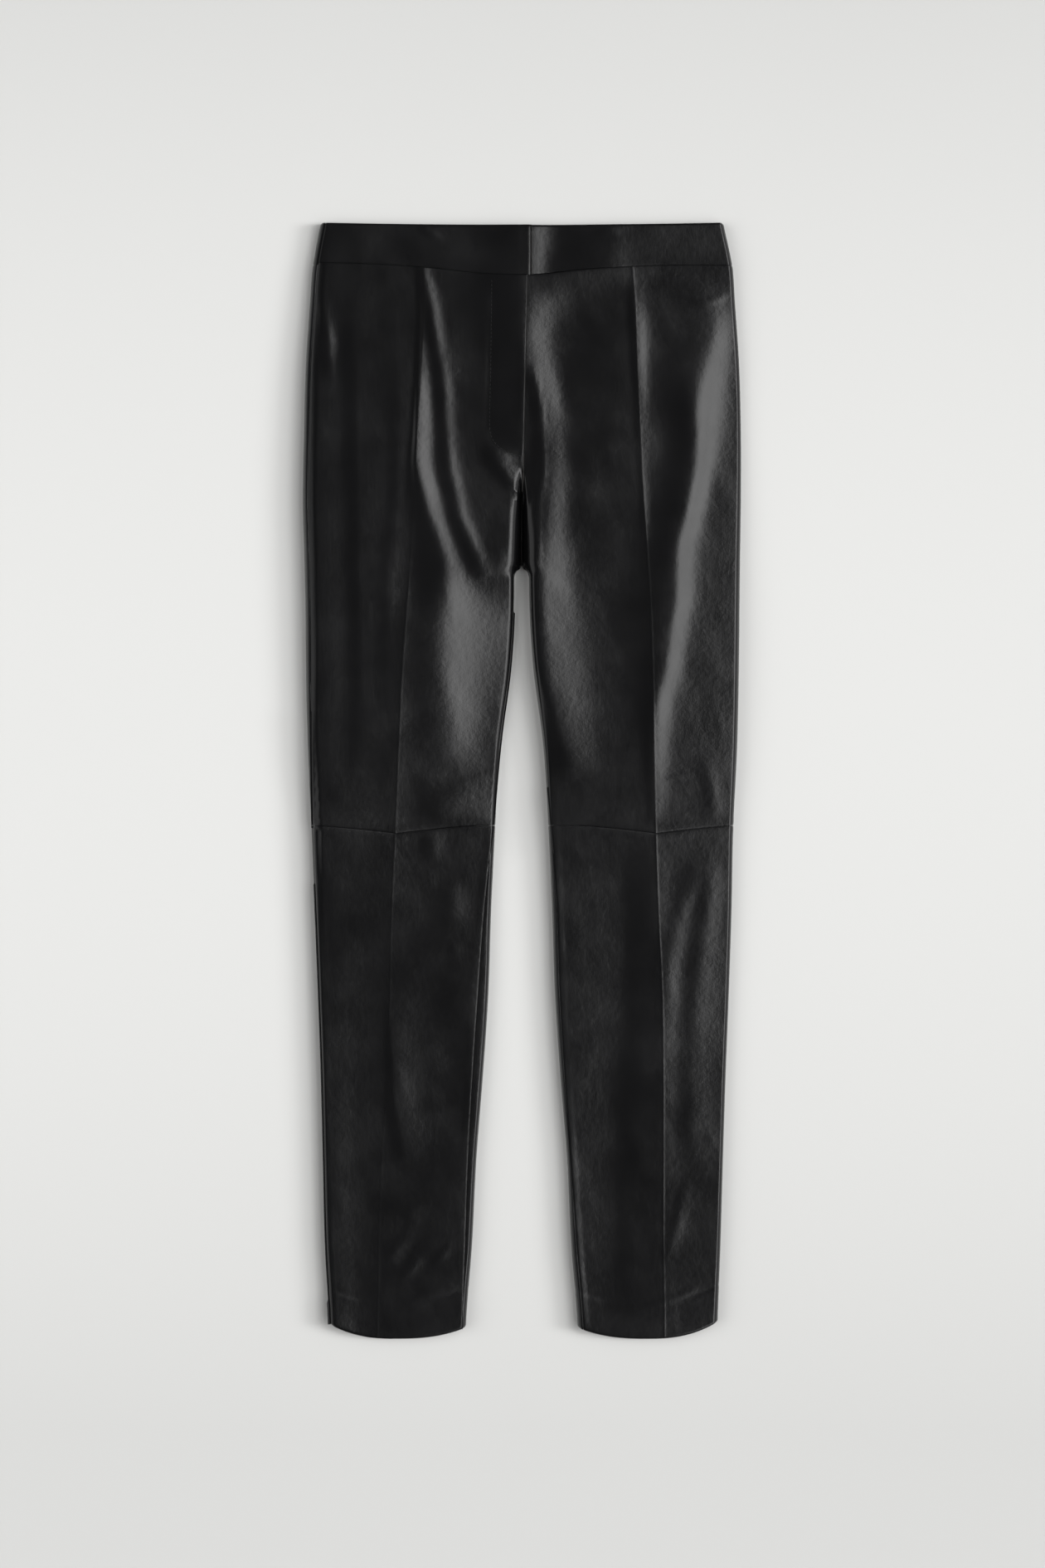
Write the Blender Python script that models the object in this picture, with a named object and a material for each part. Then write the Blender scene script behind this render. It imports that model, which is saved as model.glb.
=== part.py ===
"""Leather trousers, laid flat with the front up.

Metres, +Z up. The origin lies on the surface that carries the trousers, at the middle of their outline.
+X is the wearer's left, +Y runs from hem to waist. The tables and the sizes below are millimetres.
Each leg is a flattened tube of a front and a back panel, joined above the knee to a lower front and a lower
back. Every panel is a wall: its outer face follows a cross-section, its inner face the same one further in.
"""
import math

import bmesh
import bpy
import numpy as np

MM = 0.001

WALL = 1.2              # leather of the legs
BAND_WALL = 2.2         # waistband, folded double
SEAM_GAP = 0.3          # between two sewn pieces
HEM_TURN = 34.0         # height of the turned-up hem
HEM_STEP = 2.0          # half the height over which its second layer ends
WAIST_TOP = 504.0       # top of the band at the sides
WAIST_DIP = 2.0         # the top lies this much lower at the middle
BAND_EDGE = 8.7         # x of the right band's end, which lies over the left one
BAND_UNDERLAP = 30.0    # length of the left band under the right one
BAND_STEP = 2.8         # height between the two
BACK_WAIST = 466.0      # seam of the back panels and the band
HEM_LOW = -504.0        # lowest point of the hem's bow
HEM_RISE_OUTER = 15.0
HEM_RISE_INNER = 10.5
HEM_MIDDLE = 113.0
HEM_HALF_WIDTH = 63.0
HEM_POWER = 2.6         # sharpness of its rise towards the folds
KNEE_SIDE = -40.5       # knee seam at the folds
KNEE_DROP = 7.0         # how much lower it lies at the crease
KNEE_POWER = 1.3
CROTCH = 196.0          # lower end of the centre seam
FORK = 10.0             # height over which the two legs part below it
VALLEY_HALF_WIDTH = 8.5
VALLEY_TOP = 300.0      # the seat's front is smooth above this
SEAT_START = (175.0, 205.0)     # the right leg's inner slope turns flat between these
ROOF_EVEN = 1.0         # share of a slope that falls evenly, where it faces +X
ROOF_FLAT = 0.08        # the same where it faces -X
FOOT_POWER_EVEN = 1.0
FOOT_POWER_FLAT = 24.0  # sharpness of the foot that a flat slope drops at
SEAT_POWER = 1.7        # rise of the seat's front from the centre to the creases
FLY_LAP = 6.0           # left front under the right one
FLY_STEP = 2.0          # height between the two
LAP_START = 4.0         # height over which the lap begins
STEP_START = (268.0, 296.0)     # height over which the step begins
LAP_FADE = 90.0         # distance over which the step runs out under the left front
BAND_FADE = 80.0        # the same on the band
LAP_CLEARANCE = 1.5     # the lower side starts to rise this far past the upper side's edge
FOLDS_WHOLE = 0.93      # station up to which a fold has its whole height
FOLDS_FADE = 0.07       # or as many stations short of the seam, where that comes first
FOLD_REACH = 2.6        # a fold has faded at this many times its flank's width
PATH_STEPS = 4          # straight bits from one row of a fold to the next

# One leg from hem to waist. outer_*, inner: the two folds' distance from the middle plane. fold: half the
# thickness of the side folds, across. brow_*: height of a fold's top. crest_*: height of the crease.
# crease_*: its distance from the middle plane. inseam_*, outseam_*: how far the seams lie inside the folds,
# on top.
# r and l are the wearer's right and left.
LEG_COLUMNS = ("y", "outer_r", "outer_l", "inner", "fold", "brow_outer_r", "brow_inner_r", "brow_outer_l",
               "brow_inner_l", "crest_r", "crest_l", "crease_r", "crease_l", "inseam_r", "inseam_l",
               "outseam_r", "outseam_l")
LEG = (
    (-510, 173.6, 176.6, 51.0, 4.2, 11.6, 11.2, 12.2, 12.5, 11.8, 12.4, 130.5, 129.0, 3.5, 5.5, 1.0, 0.0),
    (-487, 174.2, 177.2, 50.0, 4.2, 11.9, 11.4, 12.4, 12.7, 12.0, 12.6, 130.0, 129.0, 3.5, 5.5, 1.0, 0.0),
    (-419, 177.8, 179.8, 44.7, 3.6, 12.4, 11.8, 12.8, 13.1, 12.3, 13.0, 129.0, 128.0, 6.3, 5.0, 1.0, 0.0),
    (-344, 179.6, 182.0, 41.0, 3.4, 12.8, 12.0, 12.6, 13.3, 12.5, 13.2, 126.5, 128.0, 7.5, 3.5, 1.0, 0.0),
    (-269, 181.4, 184.4, 35.0, 3.4, 13.0, 12.0, 12.0, 13.5, 12.6, 13.4, 121.5, 128.0, 9.5, 4.0, 1.0, 0.0),
    (-194, 184.0, 187.3, 30.0, 3.4, 13.2, 12.0, 11.6, 13.8, 12.8, 13.7, 119.0, 127.0, 9.5, 4.5, 1.0, 0.0),
    (-119, 187.0, 189.8, 27.5, 3.5, 13.2, 11.6, 12.4, 14.4, 12.8, 14.4, 117.5, 123.5, 6.5, 4.5, 1.0, 0.0),
    (-44, 190.0, 191.3, 24.0, 3.8, 13.6, 11.2, 14.0, 16.0, 13.6, 16.0, 114.0, 121.0, 2.0, 3.0, 1.0, 0.0),
    (31, 193.4, 194.8, 19.5, 4.2, 15.0, 10.6, 16.6, 19.2, 15.2, 19.2, 111.0, 119.5, 0.0, 0.0, 3.0, 0.0),
    (106, 195.2, 196.4, 10.0, 4.4, 16.2, 10.0, 17.6, 20.4, 17.0, 20.4, 107.5, 118.0, 0.0, 0.0, 5.0, 0.0),
    (151, 195.5, 196.9, 7.2, 4.4, 16.8, 10.6, 17.0, 19.8, 17.5, 19.8, 104.0, 116.5, 0.0, 0.0, 5.0, 0.0),
    (196, 196.4, 197.4, 6.5, 4.4, 17.0, 16.4, 15.4, 18.1, 17.6, 18.1, 100.5, 114.0, 0.0, 0.0, 5.0, 0.0),
    (256, 198.0, 198.3, 6.5, 4.2, 16.8, 17.2, 12.8, 15.2, 17.4, 15.2, 97.0, 110.0, 0.0, 0.0, 5.0, 0.0),
    (316, 196.9, 198.3, 6.5, 3.8, 16.2, 16.6, 11.1, 14.1, 16.8, 14.1, 94.0, 107.0, 0.0, 0.0, 5.0, 0.0),
    (376, 195.2, 196.7, 6.5, 3.6, 15.0, 15.4, 10.8, 14.0, 15.6, 14.0, 90.0, 104.0, 0.0, 0.0, 5.0, 0.0),
    (430, 191.7, 193.1, 6.5, 3.7, 13.4, 13.6, 11.6, 13.4, 13.8, 13.4, 88.0, 102.5, 0.0, 0.0, 5.0, 0.0),
    (466, 188.9, 190.4, 6.5, 3.9, 12.2, 11.8, 12.2, 12.6, 12.6, 12.6, 88.0, 100.0, 0.0, 0.0, 5.0, 0.0),
    (504, 182.0, 182.4, 6.5, 3.9, 11.8, 11.4, 12.0, 12.2, 12.2, 12.2, 88.0, 100.0, 0.0, 0.0, 5.0, 0.0),
)

# The centre front from crotch to waist. x: the edge of the right front. floor: height of the seam. ground:
# height that the legs' rounded tops would meet at without the valley between them.
CENTRE_COLUMNS = ("y", "x", "floor", "ground")
CENTRE = (
    (160, 0.0, 3.4, 10.5),
    (196, 0.0, 3.4, 11.0),
    (215, 0.0, 3.4, 12.5),
    (240, 0.5, 3.8, 14.5),
    (254, 0.9, 5.0, 15.2),
    (265, 1.2, 9.5, 15.5),
    (276, 1.5, 13.5, 15.8),
    (293, 1.9, 16.0, 16.0),
    (316, 2.4, 15.8, 15.8),
    (376, 3.6, 14.6, 14.6),
    (460, 5.3, 12.8, 12.8),
    (505, 5.5, 12.4, 12.4),
)

# Seam of the front panels and the band, from side to side.
FRONT_WAIST_COLUMNS = ("x", "y")
FRONT_WAIST = (
    (-189, 468.0),
    (-148, 467.0),
    (-87, 463.5),
    (-42, 458.7),
    (8, 456.4),
    (53, 461.0),
    (91, 464.0),
    (130, 465.5),
    (189, 465.5),
)

# The largest folds of the fronts, each a soft ridge along a smooth path that runs down, or a trough where the
# rise is negative. A row is a place on it, the widths of its two flanks there (left is towards -X), and its
# rise. Columns: x, y, left, right, rise.
FRONT_FOLDS = (
    # right thigh, inside the crease
    ((-95, 330, 10, 12, 0), (-90, 262, 12, 14, 2.0), (-71, 190, 20, 16, 2.2), (-73, 120, 26, 28, 2.5),
     (-69, 60, 26, 22, 1.8), (-64, 4, 20, 18, 0)),
    # left thigh, from the fly down the inner half
    ((2, 476, 26, 66, 4.6), (2, 430, 26, 32, 3.1), (4, 385, 20, 20, 2.0), (20, 325, 14, 16, 1.5),
     (21, 270, 14, 16, 1.7), (15, 200, 14, 24, 3.6), (11, 150, 8, 33, 4.8), (18, 100, 8, 33, 4.0),
     (33, 46, 10, 29, 2.2), (50, 0, 12, 20, 0)),
    # left thigh, from the hip to the crease
    ((168, 454, 24, 16, 0), (165, 390, 28, 15, 2.0), (156, 320, 20, 17, 3.0), (146, 238, 19, 13, 2.6),
     (137, 150, 24, 12, 2.0), (121, 70, 12, 12, 1.5), (119, -30, 10, 10, 0)),
    # lower legs
    ((-172, -50, 10, 30, 0), (-170, -200, 10, 26, 1.8), (-166, -350, 10, 24, 1.7), (-166, -506, 10, 24, 0)),
    ((84, -44, 45, 16, 0), (88, -200, 45, 17, -1.4), (78, -420, 36, 16, -1.0), (78, -500, 36, 16, 0)),
)
BAND_FOLDS = (
    ((5, 512, 30, 17, 2.4), (4, 448, 30, 14, 2.0)),
)

# Rows of each panel from its lower to its upper edge.
THIGH_ROWS = (-40, 0, 40, 85, 130, 170, 186, 188, 190, 192, 194, 196, 206, 220, 238, 256, 274, 292, 300, 335,
              375, 420, 466)
SHIN_ROWS = (-504, -487, -472, -468, -419, -344, -269, -194, -119, -40)
BAND_ROWS = (466, 485, 504)
LEVEL_THIGH = (60.0, 300.0)      # rows are level between these and bend to the seams beyond them
LEVEL_SHIN = (-440.0, -120.0)
BAND_LEVEL = (485.0, 485.0)

FRONT_SPANS = 20        # columns of a front panel, half of them on each side of the crease
SLOPE_SPREAD = ((0, 0.7, 1), (0, 0.714, 1))     # where the columns lie from the crease (0) to a seam (1)
SEAT_SPREAD = ((0, 0.3, 1), (0, 0.108, 1))      # the same from the centre to the crease, above the crotch
BACK_SPANS = 11
BAND_SPANS = 20
BACK_FOLD_SHARE = 4 / BACK_SPANS     # part of a back panel's columns on each of its folds
TINY = 1e-4             # step for a section's direction
SIDES = {"r": -1, "l": 1}

PANEL_BLACK = (0.0125, 0.0125, 0.0130)
BACK_BLACK = (0.0110, 0.0110, 0.0115)
BAND_BLACK = (0.0140, 0.0140, 0.0145)
ROUGHNESS = 0.38
SHARP_ANGLE = 50.0      # an edge that turns by more than this is shaded sharp


def column(columns, table, name, at):
    """One column of a table at the places at, on a smooth curve through its rows."""
    rows = np.array(table, dtype=float)
    knots = rows[:, 0]
    values = rows[:, columns.index(name)]
    slopes = np.gradient(values, knots)
    at = np.clip(np.asarray(at, dtype=float), knots[0], knots[-1])
    low = np.clip(np.searchsorted(knots, at, side="right") - 1, 0, len(knots) - 2)
    span = knots[low + 1] - knots[low]
    t = (at - knots[low]) / span
    near = (1 + 2 * t) * (1 - t) ** 2 * values[low] + t * (1 - t) ** 2 * span * slopes[low]
    far = t * t * (3 - 2 * t) * values[low + 1] + t * t * (t - 1) * span * slopes[low + 1]
    return near + far


def leg(name, y):
    return column(LEG_COLUMNS, LEG, name, y)


def centre(name, y):
    return column(CENTRE_COLUMNS, CENTRE, name, y)


def ease(low, high, value):
    """0 below low, 1 above high, smooth between them."""
    t = np.clip((value - low) / (high - low), 0, 1)
    return t * t * (3 - 2 * t)


def roof(side, outwards, y):
    """Share of a slope that falls evenly from the crease, and the power of the rest.

    The slopes that face +X fall evenly. Those that face -X, and the seat's front, are flat and drop at their
    foot.
    """
    even = np.where(outwards > 0, 1.0, 1 - ease(*SEAT_START, y)) * (SIDES[side] * outwards > 0)
    power = FOOT_POWER_FLAT + (FOOT_POWER_EVEN - FOOT_POWER_FLAT) * even
    return ROOF_FLAT + (ROOF_EVEN - ROOF_FLAT) * even, power


def slope_height(t, even, power):
    """1 on the crease (t 0), 0 at the foot (t 1)."""
    return 1 - even * t - (1 - even) * t ** power


def brow(side, outwards, y):
    """Height of a side fold's top."""
    return np.where(outwards < 0, leg("brow_inner_" + side, y), leg("brow_outer_" + side, y))


def shoulder_angle(side, outwards, y):
    """Angle on the fold's ellipse at which the slope to the crease leaves it."""
    even, power = roof(side, outwards, y)
    edge = np.where(outwards < 0, leg("inner", y), leg("outer_" + side, y))
    top = brow(side, outwards, y)
    drop = np.maximum(leg("crest_" + side, y) - top, 0)
    foot_slope = (even + (1 - even) * power) * drop / np.abs(edge - leg("crease_" + side, y))
    return math.pi / 2 - np.arctan(foot_slope * 2 * leg("fold", y) / top)


def seam_station(fold_name, side, y):
    """Station of the seam that lies a stated distance inside a fold, see leg_section."""
    edge = leg("outer_" + side if fold_name == "outer" else "inner", y)
    outwards = 1.0 if fold_name == "outer" else -1.0
    inset = leg(("outseam_" if fold_name == "outer" else "inseam_") + side, y)
    fold = leg("fold", y)
    width = np.abs(edge - leg("crease_" + side, y))
    turn = shoulder_angle(side, outwards, y)
    round_part = fold * (1 - np.cos(turn))
    angle = np.arccos(np.clip(1 - inset / fold, np.cos(turn), 1))
    on_fold = 1 + (turn - angle) / (turn + math.pi / 2)
    on_slope = 1 - (inset - round_part) / (width - round_part)
    return np.where(inset < round_part, on_fold, on_slope)


def leg_section(side, station, y):
    """Distance from the middle plane and height of a point on a leg's outer face.

    station is 0 on the crease, 1 where the slope meets the side fold, 2 where the fold meets the underside.
    It is positive towards the outer fold and negative towards the inner one.
    """
    outwards = np.where(station < 0, -1.0, 1.0)
    edge = np.where(station < 0, leg("inner", y), leg("outer_" + side, y))
    crease = leg("crease_" + side, y)
    crest = leg("crest_" + side, y)
    fold = leg("fold", y)
    half = 0.5 * brow(side, outwards, y)
    turn = shoulder_angle(side, outwards, y)
    reach = np.abs(station)
    foot_x = edge - outwards * fold * (1 - np.cos(turn))
    foot_z = half * (1 + np.sin(turn))
    t = np.clip(reach, 0, 1)
    slope_x = crease + (foot_x - crease) * t
    slope_z = foot_z + (crest - foot_z) * slope_height(t, *roof(side, outwards, y))
    angle = turn - (reach - 1) * (turn + math.pi / 2)
    fold_x = edge - outwards * fold * (1 - np.cos(angle))
    fold_z = half * (1 + np.sin(angle))
    return np.where(reach < 1, slope_x, fold_x), np.where(reach < 1, slope_z, fold_z)


def seat_section(side, share, y, edge, lap):
    """The same for a front above the crotch; share runs from its edge at the centre (0) to the crease (1).

    edge is where it shows its end, lap the length that goes on under the other side.
    """
    crease = leg("crease_" + side, y)
    crest = leg("crest_" + side, y)
    fold = leg("fold", y)
    inner = leg("inner", y)
    start = edge - lap
    x = start + (crease - start) * np.interp(share, *SEAT_SPREAD)
    turn = shoulder_angle(side, -1.0, y)
    foot_x = inner + fold * (1 - np.cos(turn))
    foot_z = 0.5 * brow(side, -1.0, y) * (1 + np.sin(turn))
    t = 1 - np.clip((x - foot_x) / (crease - foot_x), 0, 1)
    parted = foot_z + (crest - foot_z) * slope_height(t, *roof(side, -1.0, y))
    ground = centre("ground", y)
    joined = ground + (crest - ground) * np.clip(x / crease, 0, 1) ** SEAT_POWER
    blend = ease(CROTCH, VALLEY_TOP, y)
    brim = foot_z + (ground - foot_z) * blend
    valley = (brim - centre("floor", y)) * np.clip(1 - (x / VALLEY_HALF_WIDTH) ** 2, 0, 1) ** 2
    return x, parted + (joined - parted) * blend - valley


def smooth_path(points):
    """Closely spaced rows on a Catmull-Rom curve through the rows of a table."""
    knots = np.array(points, dtype=float)
    ends = np.vstack([2 * knots[0] - knots[1], knots, 2 * knots[-1] - knots[-2]])
    t = np.linspace(0, 1, PATH_STEPS, endpoint=False)[:, None]
    stretches = []
    for a, b, c, d in zip(ends, ends[1:], ends[2:], ends[3:]):
        stretches.append(0.5 * (2 * b + (c - a) * t + (2 * a - 5 * b + 4 * c - d) * t ** 2
                                + (3 * b - a - 3 * c + d) * t ** 3))
    return np.vstack(stretches + [knots[-1:]])


def run_lengths(path):
    return np.concatenate([[0], np.cumsum(np.hypot(*np.diff(path[:, :2], axis=0).T))])


def beside_path(path, x, y):
    """Signed distance from a path, and the distance along it.

    On a path that runs down, the sign is positive on its +X side; on one that runs to +X, on its +Y side.
    """
    passed = run_lengths(path)
    nearest = np.full(x.shape, np.inf)
    off = np.zeros(x.shape)
    along = np.zeros(x.shape)
    for start, end, before, after in zip(path, path[1:], passed, passed[1:]):
        run_x, run_y = end[:2] - start[:2]
        length = after - before
        t = np.clip(((x - start[0]) * run_x + (y - start[1]) * run_y) / length ** 2, 0, 1)
        gap_x = x - start[0] - t * run_x
        gap_y = y - start[1] - t * run_y
        gap = np.hypot(gap_x, gap_y)
        closer = gap < nearest
        nearest = np.where(closer, gap, nearest)
        off = np.where(closer, gap * np.sign(run_x * gap_y - run_y * gap_x), off)
        along = np.where(closer, before + t * length, along)
    return off, along


def fold_height(folds, x, y):
    """Height that a table of folds adds at the places x, y."""
    height = np.zeros(x.shape)
    for rows in folds:
        path = smooth_path(rows)
        reach = FOLD_REACH * path[:, 2:4].max()
        low_x, low_y = path[:, :2].min(axis=0) - reach
        high_x, high_y = path[:, :2].max(axis=0) + reach
        near = (x > low_x) & (x < high_x) & (y > low_y) & (y < high_y)
        if not near.any():
            continue
        off, along = beside_path(path, x[near], y[near])
        left, right, rise = (np.interp(along, run_lengths(path), path[:, k]) for k in (2, 3, 4))
        height[near] += rise * np.exp(-(off / np.where(off < 0, left, right)) ** 2)
    return height


def front_section(side, u, y, band=False):
    """World x and z on a front's outer face, u running from its inner edge (0) over the crease to 1."""
    inwards = np.clip(1 - 2 * u, 0, 1)
    outwards = np.clip(2 * u - 1, 0, 1)
    inner_seam = seam_station("inner", side, y)
    outer_seam = seam_station("outer", side, y)
    spread = np.interp(inwards + outwards, *SLOPE_SPREAD)
    station = np.where(u < 0.5, -inner_seam, outer_seam) * spread
    x, z = leg_section(side, station, y)
    left = float(side == "l")
    if band:
        edge = SIDES[side] * BAND_EDGE + 0.0 * y
        lap = BAND_UNDERLAP * left
        step = BAND_STEP * left
        run = BAND_FADE
    else:
        edge = SIDES[side] * centre("x", y)
        lap = (FLY_LAP + SEAM_GAP) * left * ease(VALLEY_TOP - LAP_START, VALLEY_TOP, y)
        step = FLY_STEP * left * ease(*STEP_START, y)
        run = LAP_FADE
    seat_x, seat_z = seat_section(side, 1 - inwards, y, edge, lap)
    share = np.clip((y - CROTCH + FORK) / FORK, 0, 1) * (u < 0.5)
    x = SIDES[side] * (x + (seat_x - x) * share)
    z = z + (seat_z - z) * share
    under = ease(edge + LAP_CLEARANCE + run, edge + LAP_CLEARANCE, x) * share
    seam = np.where(u < 0.5, inner_seam, outer_seam)
    whole = np.minimum(FOLDS_WHOLE, seam - FOLDS_FADE)
    fade = np.clip((seam - np.abs(station)) / (seam - whole), 0, 1)
    fade = fade + (1 - fade) * share
    return x, z - step * under + fold_height(BAND_FOLDS if band else FRONT_FOLDS, x, y) * fade


def back_section(side, u, y):
    """The same for a back, u running from its inner edge (0) under the leg to its outer edge (1)."""
    at_inner = np.clip(u / BACK_FOLD_SHARE, 0, 1)
    at_outer = np.clip((u - 1 + BACK_FOLD_SHARE) / BACK_FOLD_SHARE, 0, 1)
    middle = np.clip((u - BACK_FOLD_SHARE) / (1 - 2 * BACK_FOLD_SHARE), 0, 1)
    inner_seam = seam_station("inner", side, y)
    outer_seam = seam_station("outer", side, y)
    station = np.where(u < 0.5, -inner_seam - (2 - inner_seam) * at_inner, 2 + (outer_seam - 2) * at_outer)
    x, z = leg_section(side, station, y)
    fold = leg("fold", y)
    inner_foot = leg("inner", y) + fold
    outer_foot = leg("outer_" + side, y) - fold
    flat = (middle > 0) & (middle < 1)
    x = np.where(flat, inner_foot + (outer_foot - inner_foot) * middle, x)
    z = np.where(flat, 0.0, z)
    share = np.clip((y - CROTCH + FORK) / FORK, 0, 1) * (at_inner < 1)
    x = x + (inner_foot * at_inner - x) * share
    return SIDES[side] * x, z * (1 - share)


def back_band_section(t, y):
    """The same for the back of the band, t running from the right side seam to the left one."""
    right_x, right_z = back_section("r", np.clip(1 - 2 * t, 0, 1), y)
    left_x, left_z = back_section("l", np.clip(2 * t - 1, 0, 1), y)
    return np.where(t < 0.5, right_x, left_x), np.where(t < 0.5, right_z, left_z)


def hem_line(x):
    """The hem bows down between the two folds of a leg."""
    off = np.abs(x) - HEM_MIDDLE
    rise = np.where(off > 0, HEM_RISE_OUTER, HEM_RISE_INNER)
    return HEM_LOW + rise * np.clip(np.abs(off) / HEM_HALF_WIDTH, 0, 1) ** HEM_POWER


def front_knee_line(x):
    """Seam below the front thighs, lowest at the crease."""
    crease = np.where(x < 0, leg("crease_r", KNEE_SIDE), leg("crease_l", KNEE_SIDE))
    outer = np.where(x < 0, leg("outer_r", KNEE_SIDE), leg("outer_l", KNEE_SIDE))
    off = np.clip(np.abs(np.abs(x) - crease) / (outer - crease), 0, 1)
    return KNEE_SIDE - KNEE_DROP * (1 - off) ** KNEE_POWER


def back_knee_line(x):
    return KNEE_SIDE + 0.0 * x


def front_waist_line(x):
    return column(FRONT_WAIST_COLUMNS, FRONT_WAIST, "y", x)


def back_waist_line(x):
    return BACK_WAIST + 0.0 * x


def top_line(x):
    return WAIST_TOP - WAIST_DIP * (1 - np.clip(np.abs(x) / leg("outer_r", WAIST_TOP), 0, 1) ** 2)


def wall(name, section, outwards, spans, rows, edges, level, thickness, colour):
    """One sewn piece: a grid on its section, doubled inwards and closed all round.

    outwards is 1 where the outer face is on the left of the section's direction and -1 where it is on the
    right. edges holds the lower and the upper line and whether each is a seam. level is the stretch in which
    the rows keep their height.
    """
    bm = bmesh.new()
    bmesh.ops.create_grid(bm, x_segments=spans, y_segments=len(rows) - 1, size=0.5)
    copy = bmesh.ops.extrude_face_region(bm, geom=bm.faces[:], use_keep_orig=True)
    inner = {v for v in copy["geom"] if isinstance(v, bmesh.types.BMVert)}
    verts = list(bm.verts)
    u = np.array([v.co.x + 0.5 for v in verts])
    row = np.interp([v.co.y + 0.5 for v in verts], np.linspace(0, 1, len(rows)), rows)
    depth = np.array([1.0 if v in inner else 0.0 for v in verts]) * thickness(row)
    low_line, low_seam, high_line, high_seam = edges
    low_y = low_line(section(u, 0 * u + rows[0])[0]) + 0.5 * SEAM_GAP * low_seam
    high_y = high_line(section(u, 0 * u + rows[-1])[0]) - 0.5 * SEAM_GAP * high_seam
    y = (row + (low_y - rows[0]) * np.clip((level[0] - row) / (level[0] - rows[0]), 0, 1)
         + (high_y - rows[-1]) * np.clip((row - level[1]) / (rows[-1] - level[1]), 0, 1))
    x0, z0 = section(np.clip(u - TINY, 0, 1), y)
    x1, z1 = section(np.clip(u + TINY, 0, 1), y)
    run = np.hypot(x1 - x0, z1 - z0)
    along_x = (x1 - x0) / run
    along_z = (z1 - z0) / run
    inset = 0.5 * SEAM_GAP * ((u < TINY) * 1.0 - (u > 1 - TINY) * 1.0)
    x, z = section(u, y)
    x = x + inset * along_x + outwards * depth * along_z
    z = z + inset * along_z - outwards * depth * along_x
    for vert, *place in zip(verts, x, y, z):
        vert.co = [MM * value for value in place]
    bmesh.ops.recalc_face_normals(bm, faces=bm.faces[:])
    mesh = bpy.data.meshes.new(name)
    bm.to_mesh(mesh)
    bm.free()
    mesh.shade_smooth()
    mesh.set_sharp_from_angle(angle=math.radians(SHARP_ANGLE))
    mesh.materials.append(leather(name, colour))
    piece = bpy.data.objects.new(name, mesh)
    bpy.context.collection.objects.link(piece)
    return piece


def leather(name, colour):
    material = bpy.data.materials.new(name + "_leather")
    material.use_nodes = True
    shader = material.node_tree.nodes["Principled BSDF"]
    shader.inputs["Base Color"].default_value = (*colour, 1.0)
    shader.inputs["Roughness"].default_value = ROUGHNESS
    shader.inputs["Metallic"].default_value = 0.0
    return material


def plain(row):
    return WALL + 0.0 * row


def turned_up(row):
    """The wall is double in the hem."""
    top = HEM_LOW + HEM_TURN
    return WALL * (1 + ease(top + HEM_STEP, top - HEM_STEP, row))


def doubled(row):
    return BAND_WALL + 0.0 * row


def build_side(side):
    sign = SIDES[side]

    def front(u, y):
        return front_section(side, u, y)

    def back(u, y):
        return back_section(side, u, y)

    def band(u, y):
        return front_section(side, u, y, band=True)

    wall("front_thigh_" + side, front, sign, FRONT_SPANS, THIGH_ROWS,
         (front_knee_line, True, front_waist_line, True), LEVEL_THIGH, plain, PANEL_BLACK)
    wall("front_shin_" + side, front, sign, FRONT_SPANS, SHIN_ROWS,
         (hem_line, False, front_knee_line, True), LEVEL_SHIN, turned_up, PANEL_BLACK)
    wall("back_thigh_" + side, back, -sign, BACK_SPANS, THIGH_ROWS,
         (back_knee_line, True, back_waist_line, True), LEVEL_THIGH, plain, BACK_BLACK)
    wall("back_shin_" + side, back, -sign, BACK_SPANS, SHIN_ROWS,
         (hem_line, False, back_knee_line, True), LEVEL_SHIN, turned_up, BACK_BLACK)
    wall("waistband_front_" + side, band, sign, BAND_SPANS, BAND_ROWS,
         (front_waist_line, True, top_line, False), BAND_LEVEL, doubled, BAND_BLACK)


def main():
    for old in list(bpy.data.objects):
        bpy.data.objects.remove(old, do_unlink=True)
    for side in SIDES:
        build_side(side)
    wall("waistband_back", back_band_section, -1, 2 * BACK_SPANS, BAND_ROWS,
         (back_waist_line, True, top_line, False), BAND_LEVEL, doubled, BAND_BLACK)


main()
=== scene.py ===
"""Black leather trousers, laid flat with the front up: the leather, seams, folds and stitches of every piece.

The tables and the lengths in the functions are millimetres; meshes are metres. +X is the wearer's left,
+Y runs from hem to waist, +Z is up. r and l in names are the wearer's right and left.
"""
import math

import bmesh
import bpy
import numpy as np
from bpy.props import FloatProperty, FloatVectorProperty, PointerProperty
from mathutils import Matrix, Vector
from mathutils.bvhtree import BVHTree


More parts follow.
